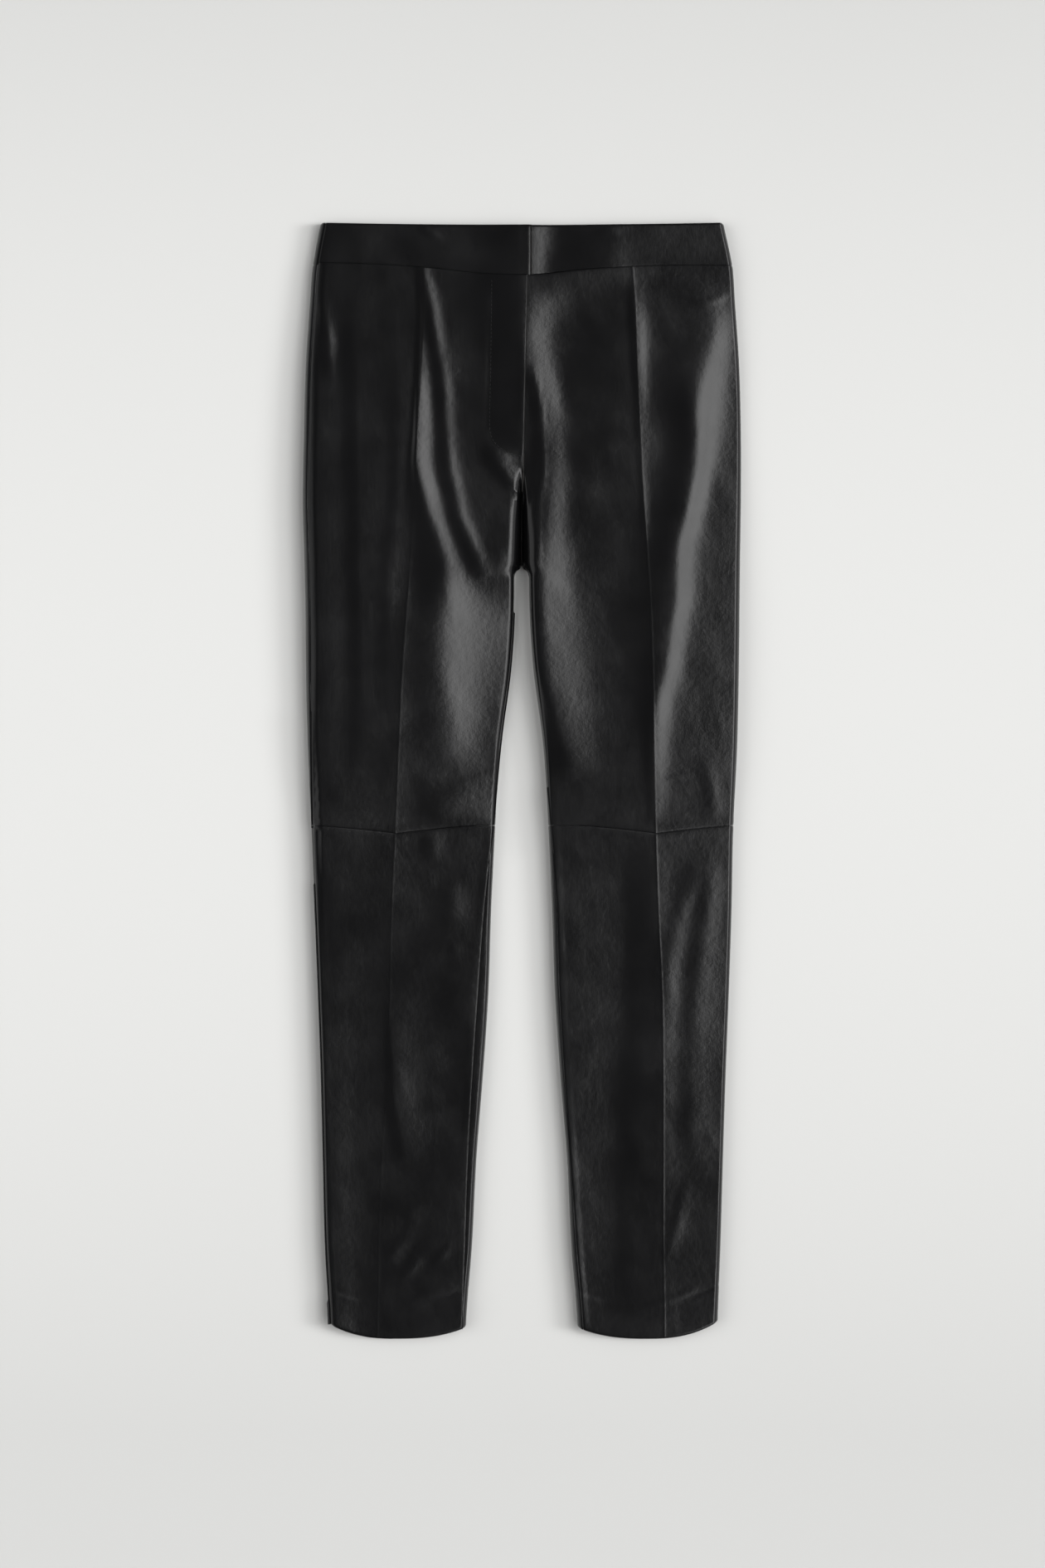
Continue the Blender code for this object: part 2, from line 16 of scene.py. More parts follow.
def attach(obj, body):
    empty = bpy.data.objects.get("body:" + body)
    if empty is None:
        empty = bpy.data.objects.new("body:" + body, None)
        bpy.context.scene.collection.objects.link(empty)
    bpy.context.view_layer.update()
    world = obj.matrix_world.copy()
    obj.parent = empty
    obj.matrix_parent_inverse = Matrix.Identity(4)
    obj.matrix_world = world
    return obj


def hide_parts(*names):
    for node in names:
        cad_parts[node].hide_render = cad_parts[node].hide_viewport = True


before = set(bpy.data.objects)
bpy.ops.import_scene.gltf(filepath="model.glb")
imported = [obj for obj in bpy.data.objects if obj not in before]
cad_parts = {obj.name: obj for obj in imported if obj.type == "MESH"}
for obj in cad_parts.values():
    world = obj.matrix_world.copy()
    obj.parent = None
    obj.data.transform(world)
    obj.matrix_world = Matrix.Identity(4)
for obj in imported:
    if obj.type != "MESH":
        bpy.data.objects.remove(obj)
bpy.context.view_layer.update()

bl_info = {
    "name": "Leather Trousers",
    "version": (1, 0, 0),
    "blender": (4, 5, 0),
    "location": "View3D > Sidebar > Trousers",
    "description": "Black leather trousers laid flat, with their seams, creases, folds and stitches",
    "category": "Object",
}

MM = 0.001
SIDES = {"r": -1, "l": 1}

# One leg from hem to waist. outer_*, inner: the two folds' distance from the middle plane. fold: half the
# thickness of the side folds, across. brow_*: height of a fold's top. crest_*: height of the crease.
# crease_*: its distance from the middle plane. inseam_*, outseam_*: how far the seams lie inside the folds,
# on top.
LEG_COLUMNS = ("y", "outer_r", "outer_l", "inner", "fold", "brow_outer_r", "brow_inner_r", "brow_outer_l",
               "brow_inner_l", "crest_r", "crest_l", "crease_r", "crease_l", "inseam_r", "inseam_l",
               "outseam_r", "outseam_l")
LEG = (
    (-510, 173.6, 176.6, 51.0, 4.2, 11.6, 11.2, 12.2, 12.5, 11.8, 12.4, 130.5, 129.0, 3.5, 5.5, 1.0, 0.0),
    (-487, 174.2, 177.2, 50.0, 4.2, 11.9, 11.4, 12.4, 12.7, 12.0, 12.6, 130.0, 129.0, 3.5, 5.5, 1.0, 0.0),
    (-419, 177.8, 179.8, 44.7, 3.6, 12.4, 11.8, 12.8, 13.1, 12.3, 13.0, 129.0, 128.0, 6.3, 5.0, 1.0, 0.0),
    (-344, 179.6, 182.0, 41.0, 3.4, 12.8, 12.0, 12.6, 13.3, 12.5, 13.2, 126.5, 128.0, 7.5, 3.5, 1.0, 0.0),
    (-269, 181.4, 184.4, 35.0, 3.4, 13.0, 12.0, 12.0, 13.5, 12.6, 13.4, 121.5, 128.0, 9.5, 4.0, 1.0, 0.0),
    (-194, 184.0, 187.3, 30.0, 3.4, 13.2, 12.0, 11.6, 13.8, 12.8, 13.7, 119.0, 127.0, 9.5, 4.5, 1.0, 0.0),
    (-119, 187.0, 189.8, 27.5, 3.5, 13.2, 11.6, 12.4, 14.4, 12.8, 14.4, 117.5, 123.5, 6.5, 4.5, 1.0, 0.0),
    (-44, 190.0, 191.3, 24.0, 3.8, 13.6, 11.2, 14.0, 16.0, 13.6, 16.0, 114.0, 121.0, 2.0, 3.0, 1.0, 0.0),
    (31, 193.4, 194.8, 19.5, 4.2, 15.0, 10.6, 16.6, 19.2, 15.2, 19.2, 111.0, 119.5, 0.0, 0.0, 3.0, 0.0),
    (106, 195.2, 196.4, 10.0, 4.4, 16.2, 10.0, 17.6, 20.4, 17.0, 20.4, 107.5, 118.0, 0.0, 0.0, 5.0, 0.0),
    (151, 195.5, 196.9, 7.2, 4.4, 16.8, 10.6, 17.0, 19.8, 17.5, 19.8, 104.0, 116.5, 0.0, 0.0, 5.0, 0.0),
    (196, 196.4, 197.4, 6.5, 4.4, 17.0, 16.4, 15.4, 18.1, 17.6, 18.1, 100.5, 114.0, 0.0, 0.0, 5.0, 0.0),
    (256, 198.0, 198.3, 6.5, 4.2, 16.8, 17.2, 12.8, 15.2, 17.4, 15.2, 97.0, 110.0, 0.0, 0.0, 5.0, 0.0),
    (316, 196.9, 198.3, 6.5, 3.8, 16.2, 16.6, 11.1, 14.1, 16.8, 14.1, 94.0, 107.0, 0.0, 0.0, 5.0, 0.0),
    (376, 195.2, 196.7, 6.5, 3.6, 15.0, 15.4, 10.8, 14.0, 15.6, 14.0, 90.0, 104.0, 0.0, 0.0, 5.0, 0.0),
    (430, 191.7, 193.1, 6.5, 3.7, 13.4, 13.6, 11.6, 13.4, 13.8, 13.4, 88.0, 102.5, 0.0, 0.0, 5.0, 0.0),
    (466, 188.9, 190.4, 6.5, 3.9, 12.2, 11.8, 12.2, 12.6, 12.6, 12.6, 88.0, 100.0, 0.0, 0.0, 5.0, 0.0),
    (504, 182.0, 182.4, 6.5, 3.9, 11.8, 11.4, 12.0, 12.2, 12.2, 12.2, 88.0, 100.0, 0.0, 0.0, 5.0, 0.0),
)

# The centre front from crotch to waist. x: the edge of the right front. floor: height of the seam. ground:
# height that the legs' rounded tops would meet at without the valley between them. valley: half its width.
CENTRE_COLUMNS = ("y", "x", "floor", "ground", "valley")
CENTRE = (
    (160, 0.0, 3.4, 10.5, 7.5),
    (196, 0.0, 3.4, 11.0, 7.5),
    (215, 0.0, 3.4, 12.5, 7.0),
    (240, 0.5, 3.8, 14.5, 6.0),
    (254, 0.9, 5.0, 15.2, 5.0),
    (265, 1.2, 10.0, 15.5, 4.2),
    (276, 1.5, 15.0, 15.8, 3.4),
    (293, 1.9, 16.0, 16.0, 3.0),
    (316, 2.4, 15.8, 15.8, 3.0),
    (376, 3.6, 14.6, 14.6, 3.0),
    (460, 5.3, 12.8, 12.8, 3.0),
    (505, 5.5, 12.4, 12.4, 3.0),
)

# Seam of the front panels and the band, from side to side.
FRONT_WAIST_COLUMNS = ("x", "y")
FRONT_WAIST = (
    (-189, 468.0),
    (-148, 467.0),
    (-87, 463.5),
    (-42, 458.7),
    (8, 456.4),
    (53, 461.0),
    (91, 464.0),
    (130, 465.5),
    (189, 465.5),
)

def even(left, right, *places):
    """Rows of a fold whose widths stay the same, from its places x, y and rise."""
    return tuple((x, y, left, right, rise) for x, y, rise in places)


# Folds, each a soft ridge along a smooth path, or a trough where the rise is negative. A row is a place on
# it, the widths of its two flanks there, and its rise: x, y, left, right, rise. On a path that runs down,
# left is towards -X and right towards +X; on one that runs to +X, left is below and right above.
FRONT_FOLDS = (
    # upper front, wearer's right: from the crease to the crotch
    ((-89, 466, 5, 6, 0.3), (-86, 448, 6, 7, 0.6), (-82, 430, 6, 7, 0.7), (-79, 406, 6, 7, 0.8),
     (-75, 382, 6, 7, 0.6), (-71, 358, 6, 7, 0.8), (-70, 334, 6, 7, 0.75), (-68, 310, 7, 7, 0.7),
     (-66, 286, 8, 7, 0.9), (-61, 262, 8, 7, 0.9), (-56, 238, 8, 7, 1.1), (-46, 214, 8, 7, 1.0),
     (-36, 192, 8, 7, 0.5), (-29, 181, 8, 6, 0)),
    ((-92, 464, 3, 7, 0.25), (-91, 428, 3, 8, 0.35), (-92, 390, 3, 8, 0.45), (-93, 358, 3, 9, 0.9),
     (-94, 334, 3, 10, 1.3), (-95, 310, 3, 11, 1.6), (-95, 286, 5, 12, 1.9), (-90, 262, 9, 12, 2.1),
     (-84, 238, 12, 12, 2.0), (-76, 214, 15, 12, 2.0), (-71, 190, 18, 15, 2.2), (-70, 166, 22, 20, 2.5),
     (-73, 142, 26, 27, 2.6), (-73, 118, 26, 28, 2.5), (-72, 94, 26, 25, 2.3), (-69, 70, 26, 22, 1.9),
     (-67, 46, 26, 20, 1.5), (-66, 22, 22, 20, 0.8), (-64, 4, 20, 18, 0)),
    even(14, 8, (-34, 448, 0), (-32, 430, 0.8), (-32, 414, 0)),
    even(18, 40, (-84, 14, 0), (-78, -8, 0.8), (-70, -26, 1.5), (-70, -44, 0)),
    # upper front, wearer's right: outer half
    even(6, 7, (-183, 444, 0), (-176, 404, 0.7), (-174, 372, 0.4), (-172, 350, 0)),
    ((-150, 440, 12, 50, 0), (-149, 380, 12, 50, 1.0), (-148, 330, 9, 45, 1.2), (-146, 190, 9, 34, 1.0),
     (-144, 80, 9, 24, 0.7), (-150, -20, 9, 20, 0)),
    ((-110, 400, 7, 16, 0), (-111, 330, 7, 16, 0.4), (-112, 250, 7, 16, 0.5), (-120, 180, 7, 10, 0.3),
     (-120, 40, 7, 8, 0)),
    ((-188, 476, 4, 70, 1.1), (-188, 430, 4, 70, 1.3), (-188, 380, 4, 36, 1.2), (-187, 100, 4, 30, 1.2),
     (-184, 0, 4, 34, 1.1), (-183, -40, 4, 60, 1.5)),
    # the fly stands a little proud of the leather round it
    ((3, 452, 26, 20, 0), (2, 420, 28, 20, 1.0), (0, 340, 28, 20, 1.6), (-1, 316, 24, 16, 1.2),
     (-2, 299, 16, 12, 0.4), (-3, 284, 10, 8, 0)),
    ((-28, 304, 5, 9, 0), (-26, 294, 6, 14, 1.3), (-20, 283, 6, 13, 1.5), (-12, 272, 5, 10, 0.9),
     (-7, 262, 4, 5, 0)),
    # upper front, wearer's left: from the fly down the inner half
    ((2, 476, 26, 76, 4.8), (2, 454, 26, 72, 4.7), (2, 430, 26, 36, 3.4), (2, 404, 26, 24, 2.3),
     (8, 380, 18, 19, 1.8), (17.5, 358, 14, 14, 1.75), (20.5, 340, 13, 14, 1.65), (23, 320, 13, 14, 1.55),
     (23.3, 300, 13, 14, 1.5), (23.3, 280, 13, 14.5, 1.65), (22.5, 260, 13, 15, 1.75),
     (20.5, 240, 13, 17, 2.0), (18, 220, 13, 20, 2.7), (14.5, 200, 12, 24, 3.5), (8.5, 180, 8, 30, 4.4),
     (6.5, 162, 7, 32, 4.6), (8, 142, 6, 33, 4.6), (12, 118, 7, 33, 4.1), (17, 94, 8, 34, 3.9),
     (26, 70, 9, 33, 3.2), (33, 46, 10, 29, 2.2), (42, 22, 12, 24, 1.4), (50, 0, 12, 20, 0)),
    even(3, 5, (0.5, 410, 0), (0.5, 385, 0.25), (0, 360, 0.5), (-0.5, 335, 0.3), (-1, 315, 0)),
    even(4, 3.4, (8.5, 378, 0), (11.8, 360, 0.7), (15, 340, 0.75), (17.4, 320, 0.8), (17.8, 300, 0.8),
         (17.8, 280, 0.85), (15, 260, 0.9), (12.2, 240, 0.9), (12, 220, 0.9), (12, 204, 0.7), (11.5, 186, 0)),
    even(9, 12, (56, 322, 0), (62, 280, 0.15), (54, 236, 0.2), (50, 205, 0)),
    # upper front, wearer's left: the crease and the streak beside it
    ((100, 458, 4, 8, 0), (101, 430, 4, 9, 0.5), (103.5, 400, 4, 8, 0.9), (105, 370, 4, 7, 0.7),
     (106.5, 340, 4, 6, 0.35), (107, 310, 4, 6, 0.2), (109, 270, 3, 4, 0.2), (111, 238, 3, 4, 0.25),
     (113.5, 205, 3, 4, 0)),
    ((168, 454, 24, 16, 0), (168, 430, 30, 16, 0.7), (171, 406, 30, 14, 1.5), (165, 382, 28, 16, 2.2),
     (159, 358, 26, 17, 2.8), (156, 334, 20, 17, 3.0), (156, 310, 18, 15, 2.8), (155, 286, 18, 13, 2.6),
     (151, 262, 18, 12, 2.7), (146, 238, 19, 12, 2.6), (140, 214, 20, 12.5, 2.5), (138.5, 190, 22, 12, 2.2),
     (138, 166, 24, 12, 2.0), (134, 142, 24, 12, 1.9), (131, 118, 20, 11.5, 1.7), (127, 94, 15, 11, 1.5),
     (121, 70, 10, 11, 1.5), (119, 46, 8, 11, 1.3), (118.5, 22, 6, 10, 1.0), (119, -2, 6, 10, 0.6),
     (119.5, -24, 5, 9, 0.4), (120, -40, 5, 9, 0)),
    even(4, 4, (150, 436, 0), (162, 432, 0.35), (176, 434, 0.4), (188, 441, 0)),
    even(8, 7, (165, 24, 0), (170, 0, 0.3), (174, -24, 0.3), (176, -38, 0)),
    even(2, 2, (125, 1, 0), (140, 3, 0.2), (157, 5, 0)),
    # lower front, wearer's right
    ((-184, -44, 6, 60, 1.5), (-183, -100, 6, 52, 1.4), (-181, -160, 6, 34, 1.3), (-178, -230, 6, 26, 1.25),
     (-175.5, -300, 6, 22, 1.2), (-174, -380, 6, 21, 1.15), (-171.5, -450, 6, 21, 1.2),
     (-169, -506, 6, 21, 1.1)),
    even(9, 10, (-64, -88, 0), (-63, -104, 0.45), (-62, -118, 0.4), (-62, -136, 0)),
    even(8, 10, (-84, -42, 0), (-81, -56, 0.5), (-80, -76, 0)),
    ((-118, -196, 5, 16, 0), (-117, -235, 5, 17, 0.7), (-116, -265, 5, 18, 0.95), (-114, -295, 6, 22, 1.2),
     (-108, -322, 7, 24, 1.1), (-102, -345, 7, 20, 0)),
    ((-104, -382, 6, 14, 0), (-100, -392, 6, 16, 0.35), (-92, -402, 6, 14, 0)),
    even(6, 6, (-122, -436, 0), (-112, -422, 0.5), (-96, -408, 0)),
    ((-112, -452, 6, 5, 0), (-100, -440, 6, 5, 0.5), (-86, -424, 5, 5, 0)),
    even(4, 4, (-80, -438, 0), (-70, -427, 0.35), (-60, -414, 0)),
    ((-108, -478, 8, 6, 0), (-90, -467, 8, 6, 0.45), (-68, -460, 7, 6, 0.35), (-56, -458, 7, 6, 0)),
    even(1.6, 1.8, (-68, -149, 0), (-61, -152, 0.25), (-54, -155, 0)),
    # lower front, wearer's left
    ((90, -44, 34, 16, 0), (90, -100, 34, 17, -1.1), (89, -200, 33, 17, -1.2), (84, -300, 28, 16, -1.0),
     (82, -420, 26, 16, -0.8), (82, -500, 26, 16, 0)),
    ((121, -44, 12, 10, 0), (123.5, -119, 12, 10, 0.25), (127, -194, 12, 11, 0.22), (128, -344, 12, 11, 0.25),
     (129, -480, 12, 11, 0.15), (129, -500, 12, 11, 0)),
    ((170, -54, 9, 10, 0), (154, -92, 9, 10, 0.38), (142, -124, 9, 9, 0.4), (134, -168, 9, 9, 0.35),
     (131, -224, 9, 10, 0.2), (129, -262, 9, 10, 0)),
    ((174, -60, 8, 7, 0), (168, -110, 9, 10, 0.5), (160, -170, 10, 12, 0.5), (155, -240, 10, 14, 0.4),
     (155, -320, 10, 14, 0.3), (155, -350, 10, 14, 0)),
    ((150, -358, 5, 7, 0), (144, -384, 5, 7, 0.25), (138, -408, 5, 6, 0.3), (131, -434, 5, 6, 0)),
    even(2, 2.5, (164, -322, 0), (171, -325, 0.35), (178, -328, 0)),
    even(3, 3.5, (110, -474, 0), (128, -470, 0.4), (146, -465, 0.4), (162, -456, 0)),
)
BAND_FOLDS = (
    ((5, 512, 30, 17, 2.4), (6, 490, 30, 17, 2.4), (5, 470, 30, 15, 2.2), (4, 448, 30, 14, 2.0)),
    even(4, 4, (-94, 500, 0), (-82, 494, 0.3), (-68, 489, 0)),
    even(3, 4, (66, 492, 0), (76, 496, 0.35), (90, 494, 0)),
    even(18, 28, (76, 448, 0.7), (84, 512, 0.5)),
)
# The backs rest on their folds; what rises here lifts the leather off the surface.
BACK_FOLDS = (
    ((-158, 450, 26, 22, 0), (-140, 380, 26, 22, 1.5), (-112, 290, 24, 22, 2.0), (-60, 200, 20, 20, 0)),
    ((158, 450, 24, 26, 0), (138, 375, 24, 26, 1.7), (110, 290, 22, 22, 1.8), (60, 205, 20, 18, 0)),
    ((-30, 430, 18, 22, 0), (-44, 340, 16, 20, 1.5), (-40, 250, 14, 18, 0)),
    ((36, 420, 20, 18, 0), (52, 340, 18, 16, 1.5), (44, 240, 16, 16, 0)),
    ((-152, 160, 22, 20, 0), (-124, 70, 24, 18, 1.3), (-140, -25, 24, 18, 0)),
    ((58, 150, 20, 22, 0), (96, 60, 18, 20, 1.4), (140, -25, 18, 20, 0)),
    ((-60, 16, 8, 9, 0), (-110, -14, 8, 8, 0.9), (-164, -24, 8, 8, 0)),
    ((54, -58, 8, 9, 0), (108, -74, 9, 8, 0.9), (164, -64, 9, 8, 0)),
    ((-56, -78, 9, 8, 0), (-104, -96, 8, 9, 0.8), (-162, -88, 8, 9, 0)),
    ((-90, -150, 18, 16, 0), (-104, -280, 17, 15, 1.1), (-96, -430, 16, 14, 0)),
    ((92, -150, 16, 18, 0), (104, -300, 15, 17, 1.2), (98, -440, 14, 16, 0)),
)

# Stitch line that holds the fly's facing, from the waist seam to the fly's edge.
FLY_STITCH = ((-27, 453), (-28, 370), (-29, 327), (-27.5, 311), (-21, 301.5), (-10, 295.2), (1.2, 292.6))
FLY_TACK = ((-3.4, 271.0), (-1.4, 259.0))

# Leather, seams and hem.
WALL = 1.2
BAND_WALL = 2.2
SEAM_GAP = 0.3
HEM_TURN = 34.0
HEM_STEP = 2.0          # the wall thins over this length to each side of the turn-up's edge
HEM_LOW = -504.0
HEM_RISE_OUTER = 15.0
HEM_RISE_INNER = 10.5
HEM_MIDDLE = 113.0
HEM_HALF_WIDTH = 63.0
HEM_POWER = 2.6
KNEE_SIDE = -40.5
KNEE_DROP = 7.0
KNEE_POWER = 1.3

# Waist and band.
WAIST_TOP = 504.0
WAIST_DIP = 2.0
BACK_WAIST = 466.0
BAND_EDGE = 8.7
BAND_UNDERLAP = 30.0
BAND_STEP = 2.8
BAND_FADE = 80.0
BAND_SINK = 0.25        # keeps the back band's swells off the surface that it lies on

# Crotch, seat and fly.
CROTCH = 196.0
FORK = 10.0
VALLEY_TOP = 300.0
SEAT_START = (175.0, 205.0)
SEAT_POWER = 1.7
FLY_LAP = 6.0
FLY_STEP = 2.0
STEP_START = (254.0, 296.0)
LAP_FADE = 90.0
LAP_START = 4.0
LAP_CLEARANCE = 1.5

# Slopes from the creases to the side folds, and what the folds' table adds to them.
ROOF_EVEN = 1.0
ROOF_FLAT = 0.08
FOOT_POWER_EVEN = 1.0
FOOT_POWER_FLAT = 24.0
FOLDS_WHOLE = 0.93
FOLDS_FADE = 0.07
FOLD_REACH = 2.6        # in widths of the fold's flank
BACK_FOLD_SHARE = 0.3
BACK_LIFT_RUN = 0.16

# Stretches in which the rows keep their height.
LEVEL_THIGH = (60.0, 300.0)
LEVEL_SHIN = (-440.0, -120.0)
LEVEL_BAND = (485.0, 485.0)

# Swells of the leather: width, length, seed of the lattice.
FRONT_SWELLS = (42, 85, 11)
FRONT_SMALL_SWELLS = (13, 24, 12)
CREASE_SWELLS = (400, 60, 13)
BACK_SWELLS = (48, 90, 21)
BACK_SMALL_SWELLS = (14, 25, 22)
BAND_SWELLS = (30, 60, 31)
SWELL_FADE = 8          # length over which they fade out towards a seam or an edge
SWELL_FADE_ENDS = 12    # the same towards the lower and the upper edge of the legs' fronts
LATTICE = 64
LATTICE_SHIFT = 700     # keeps every place on the lattice's positive side
LATTICE_LEAN = (0.35, -0.2)

# Reliefs over the smooth outer face: heights, depths, distances from the edge, and widths of a bell.
ALLOWANCE = {"first": 0.03, "last": 0.12, "low": 0.10, "high": 0.14}
ALLOWANCE_MIDDLE = 4.2
ALLOWANCE_WIDTH = 2.6
SEAM_WIDTH = 0.7
INSEAM_ROLL = 0.3
HEM_EDGE = (0.9, 0.9)
HEM_GROOVE_WIDTH = 1.6
FRONT_HEM_GROOVE = 0.16
BACK_HEM_GROOVE = 0.2
HEM_SWELL = 0.12
HEM_SWELL_END = (HEM_TURN + 2, HEM_TURN - 3)
CREASE_WIDTH = 0.9
CREASE_SHARE = {"r": 0.4, "l": 1.0}
BACK_CREASE_DEPTH = 0.35
BACK_CREASE_WIDTHS = (1.2, 9)
BAND_SWELL = 0.25
BAND_TOP_ROLL = (1.1, 1.2)
DART_TOP = (82, 470)
DART_POINT = (74, 372)
DART_DEPTH = 0.5
DART_WIDTH = 1.1
DART_FADE = (98, 68)
FLY_GROOVE = (0.34, 1.3)
PUCKER = 0.07
PUCKER_PITCH = 3.6
PUCKER_OFF = 2.4
PUCKER_WIDTH = 1.6
LIP = (0.14, 3.0, 2.0)
LIP_ROLL = (0.8, 0.6)

# Stitches, in shares of the stitch line's pitch, length and thickness.
FIRST_STITCH = 0.6
LAST_STITCH = 0.3
STITCH_FLATNESS = 0.8
TACK_SHARES = (0.45, 0.8, 1.3)

# Fineness of the pieces: columns and rows of quads on the outer face.
FRONT_COLUMNS = 110
BACK_COLUMNS = 120
THIGH_ROWS = 240
SHIN_ROWS = 170
BACK_THIGH_ROWS = 170
BACK_SHIN_ROWS = 120
BAND_ROWS = 40
EVENNESS = 0.3          # 1 spaces the rows and columns evenly, 0 crowds them at the edges and the crease
PATH_STEPS = 8          # straight bits from one row of a fold to the next
SHARP_ANGLE = 58        # degrees; the cut edges are sharper, the folds are not

# The stage: metres and degrees.
CAMERA_PLACE = (0.00075, -0.003)    # x, y
SCALE_HEIGHT = 0.006    # over the floor, where the view has its stated length
SENSOR = 36             # mm, as the lens
FLOOR_HALF = 20
FLOOR_Z = -0.0004
# Painted light falloff on the floor: its colour is brightest at this y and darker towards both ends.
FLOOR_PAINTED_LIGHT_Y = 0.07
FLOOR_PAINTED_FALLOFF = 2.2
FLOOR_PAINTED_FALLOFF_END_SHARE = 0.86
BACKDROP = (0.8, 0.8, 0.785, 1)
LAMPS = (("low", 27, 18), ("middle", 47, 24), ("fill", 134, 50))    # setting, elevation, softness
# Softboxes: where each begins and is whole, as direction cosines.
KEY_NEAR = (0.10, 0.32)
KEY_FAR = (0.66, 0.38)
KEY_ENDS = (0.75, 0.55)
BESIDE_KEY = (0.35, 0.70)
FAR_SIDE = (-0.40, -0.75)


# ---- the form, as cross-sections ----

def column(columns, table, name, at):
    """One column of a table at the places at, on a smooth curve through its rows."""
    rows = np.array(table, dtype=float)
    knots = rows[:, 0]
    values = rows[:, columns.index(name)]
    slopes = np.gradient(values, knots)
    at = np.clip(np.asarray(at, dtype=float), knots[0], knots[-1])
    low = np.clip(np.searchsorted(knots, at, side="right") - 1, 0, len(knots) - 2)
    span = knots[low + 1] - knots[low]
    t = (at - knots[low]) / span
    near = (1 + 2 * t) * (1 - t) ** 2 * values[low] + t * (1 - t) ** 2 * span * slopes[low]
    far = t * t * (3 - 2 * t) * values[low + 1] + t * t * (t - 1) * span * slopes[low + 1]
    return near + far


def leg(name, y):
    return column(LEG_COLUMNS, LEG, name, y)


def centre(name, y):
    return column(CENTRE_COLUMNS, CENTRE, name, y)


def by_side(name, x, y):
    return np.where(x < 0, leg(name + "_r", y), leg(name + "_l", y))


def between(first, second, share):
    return first + (second - first) * share


def ease(low, high, value):
    """0 below low, 1 above high, smooth between them."""
    t = np.clip((value - low) / (high - low), 0, 1)
    return t * t * (3 - 2 * t)


def bell(off, width):
    """1 where off is 0, and about a third where it is the width."""
    return np.exp(-(off / width) ** 2)


def roof(side, outwards, y):
    """Share of a slope that falls evenly from the crease, and the power of the rest.

    The slopes that face +X fall evenly. Those that face -X, and the seat's front, are flat and drop at their
    foot.
    """
    even = np.where(outwards > 0, 1.0, 1 - ease(*SEAT_START, y)) * (SIDES[side] * outwards > 0)
    return between(ROOF_FLAT, ROOF_EVEN, even), between(FOOT_POWER_FLAT, FOOT_POWER_EVEN, even)


def slope_height(t, even, power):
    """1 on the crease (t 0), 0 at the foot (t 1)."""
    return 1 - even * t - (1 - even) * t ** power


def fold_edge(side, outwards, y):
    """Distance of a side fold from the middle plane."""
    return np.where(outwards < 0, leg("inner", y), leg("outer_" + side, y))


def brow(side, outwards, y):
    """Height of a side fold's top."""
    return np.where(outwards < 0, leg("brow_inner_" + side, y), leg("brow_outer_" + side, y))


def shoulder_angle(side, outwards, y):
    """Angle on the fold's ellipse at which the slope to the crease leaves it."""
    even, power = roof(side, outwards, y)
    top = brow(side, outwards, y)
    drop = np.maximum(leg("crest_" + side, y) - top, 0)
    width = np.abs(fold_edge(side, outwards, y) - leg("crease_" + side, y))
    foot_slope = (even + (1 - even) * power) * drop / width
    return math.pi / 2 - np.arctan(foot_slope * 2 * leg("fold", y) / top)


def on_fold(side, outwards, angle, y):
    """Distance from the middle plane and height at an angle on a side fold's ellipse, 0 at its edge."""
    x = fold_edge(side, outwards, y) - outwards * leg("fold", y) * (1 - np.cos(angle))
    return x, 0.5 * brow(side, outwards, y) * (1 + np.sin(angle))


def seam_station(side, outwards, y):
    """Station of the seam that lies a stated distance inside a fold, see leg_section."""
    inset = leg(("inseam_" if outwards < 0 else "outseam_") + side, y)
    fold = leg("fold", y)
    width = np.abs(fold_edge(side, outwards, y) - leg("crease_" + side, y))
    turn = shoulder_angle(side, outwards, y)
    round_part = fold * (1 - np.cos(turn))
    angle = np.arccos(np.clip(1 - inset / fold, np.cos(turn), 1))
    round_station = 1 + (turn - angle) / (turn + math.pi / 2)
    slope_station = 1 - (inset - round_part) / (width - round_part)
    return np.where(inset < round_part, round_station, slope_station)


def leg_section(side, station, y):
    """Distance from the middle plane and height of a point on a leg's outer face.

    station is 0 on the crease, 1 where the slope meets the side fold, 2 where the fold meets the underside.
    It is positive towards the outer fold and negative towards the inner one.
    """
    outwards = np.where(station < 0, -1.0, 1.0)
    turn = shoulder_angle(side, outwards, y)
    reach = np.abs(station)
    foot_x, foot_z = on_fold(side, outwards, turn, y)
    t = np.clip(reach, 0, 1)
    slope_x = between(leg("crease_" + side, y), foot_x, t)
    slope_z = between(foot_z, leg("crest_" + side, y), slope_height(t, *roof(side, outwards, y)))
    fold_x, fold_z = on_fold(side, outwards, turn - (reach - 1) * (turn + math.pi / 2), y)
    return np.where(reach < 1, slope_x, fold_x), np.where(reach < 1, slope_z, fold_z)


def seat_section(side, leg_x, leg_edge, y, edge, lap):
    """The same for a front above the crotch, at columns that a leg would have at the distances leg_x.

    leg_edge is the distance of a leg's seam, edge is where the front shows its end, and lap is the length
    that goes on under the other side.
    """
    crease = leg("crease_" + side, y)
    crest = leg("crest_" + side, y)
    start = edge - lap
    x = start + (crease - start) * (leg_x - leg_edge) / (crease - leg_edge)
    foot_x, foot_z = on_fold(side, -1.0, shoulder_angle(side, -1.0, y), y)
    t = 1 - np.clip((x - foot_x) / (crease - foot_x), 0, 1)
    parted = between(foot_z, crest, slope_height(t, *roof(side, -1.0, y)))
    ground = centre("ground", y)
    joined = between(ground, crest, np.clip(x / crease, 0, 1) ** SEAT_POWER)
    blend = ease(CROTCH, VALLEY_TOP, y)
    depth = between(foot_z, ground, blend) - centre("floor", y)
    valley = depth * np.clip(1 - (x / centre("valley", y)) ** 2, 0, 1) ** 2
    return x, between(parted, joined, blend) - valley


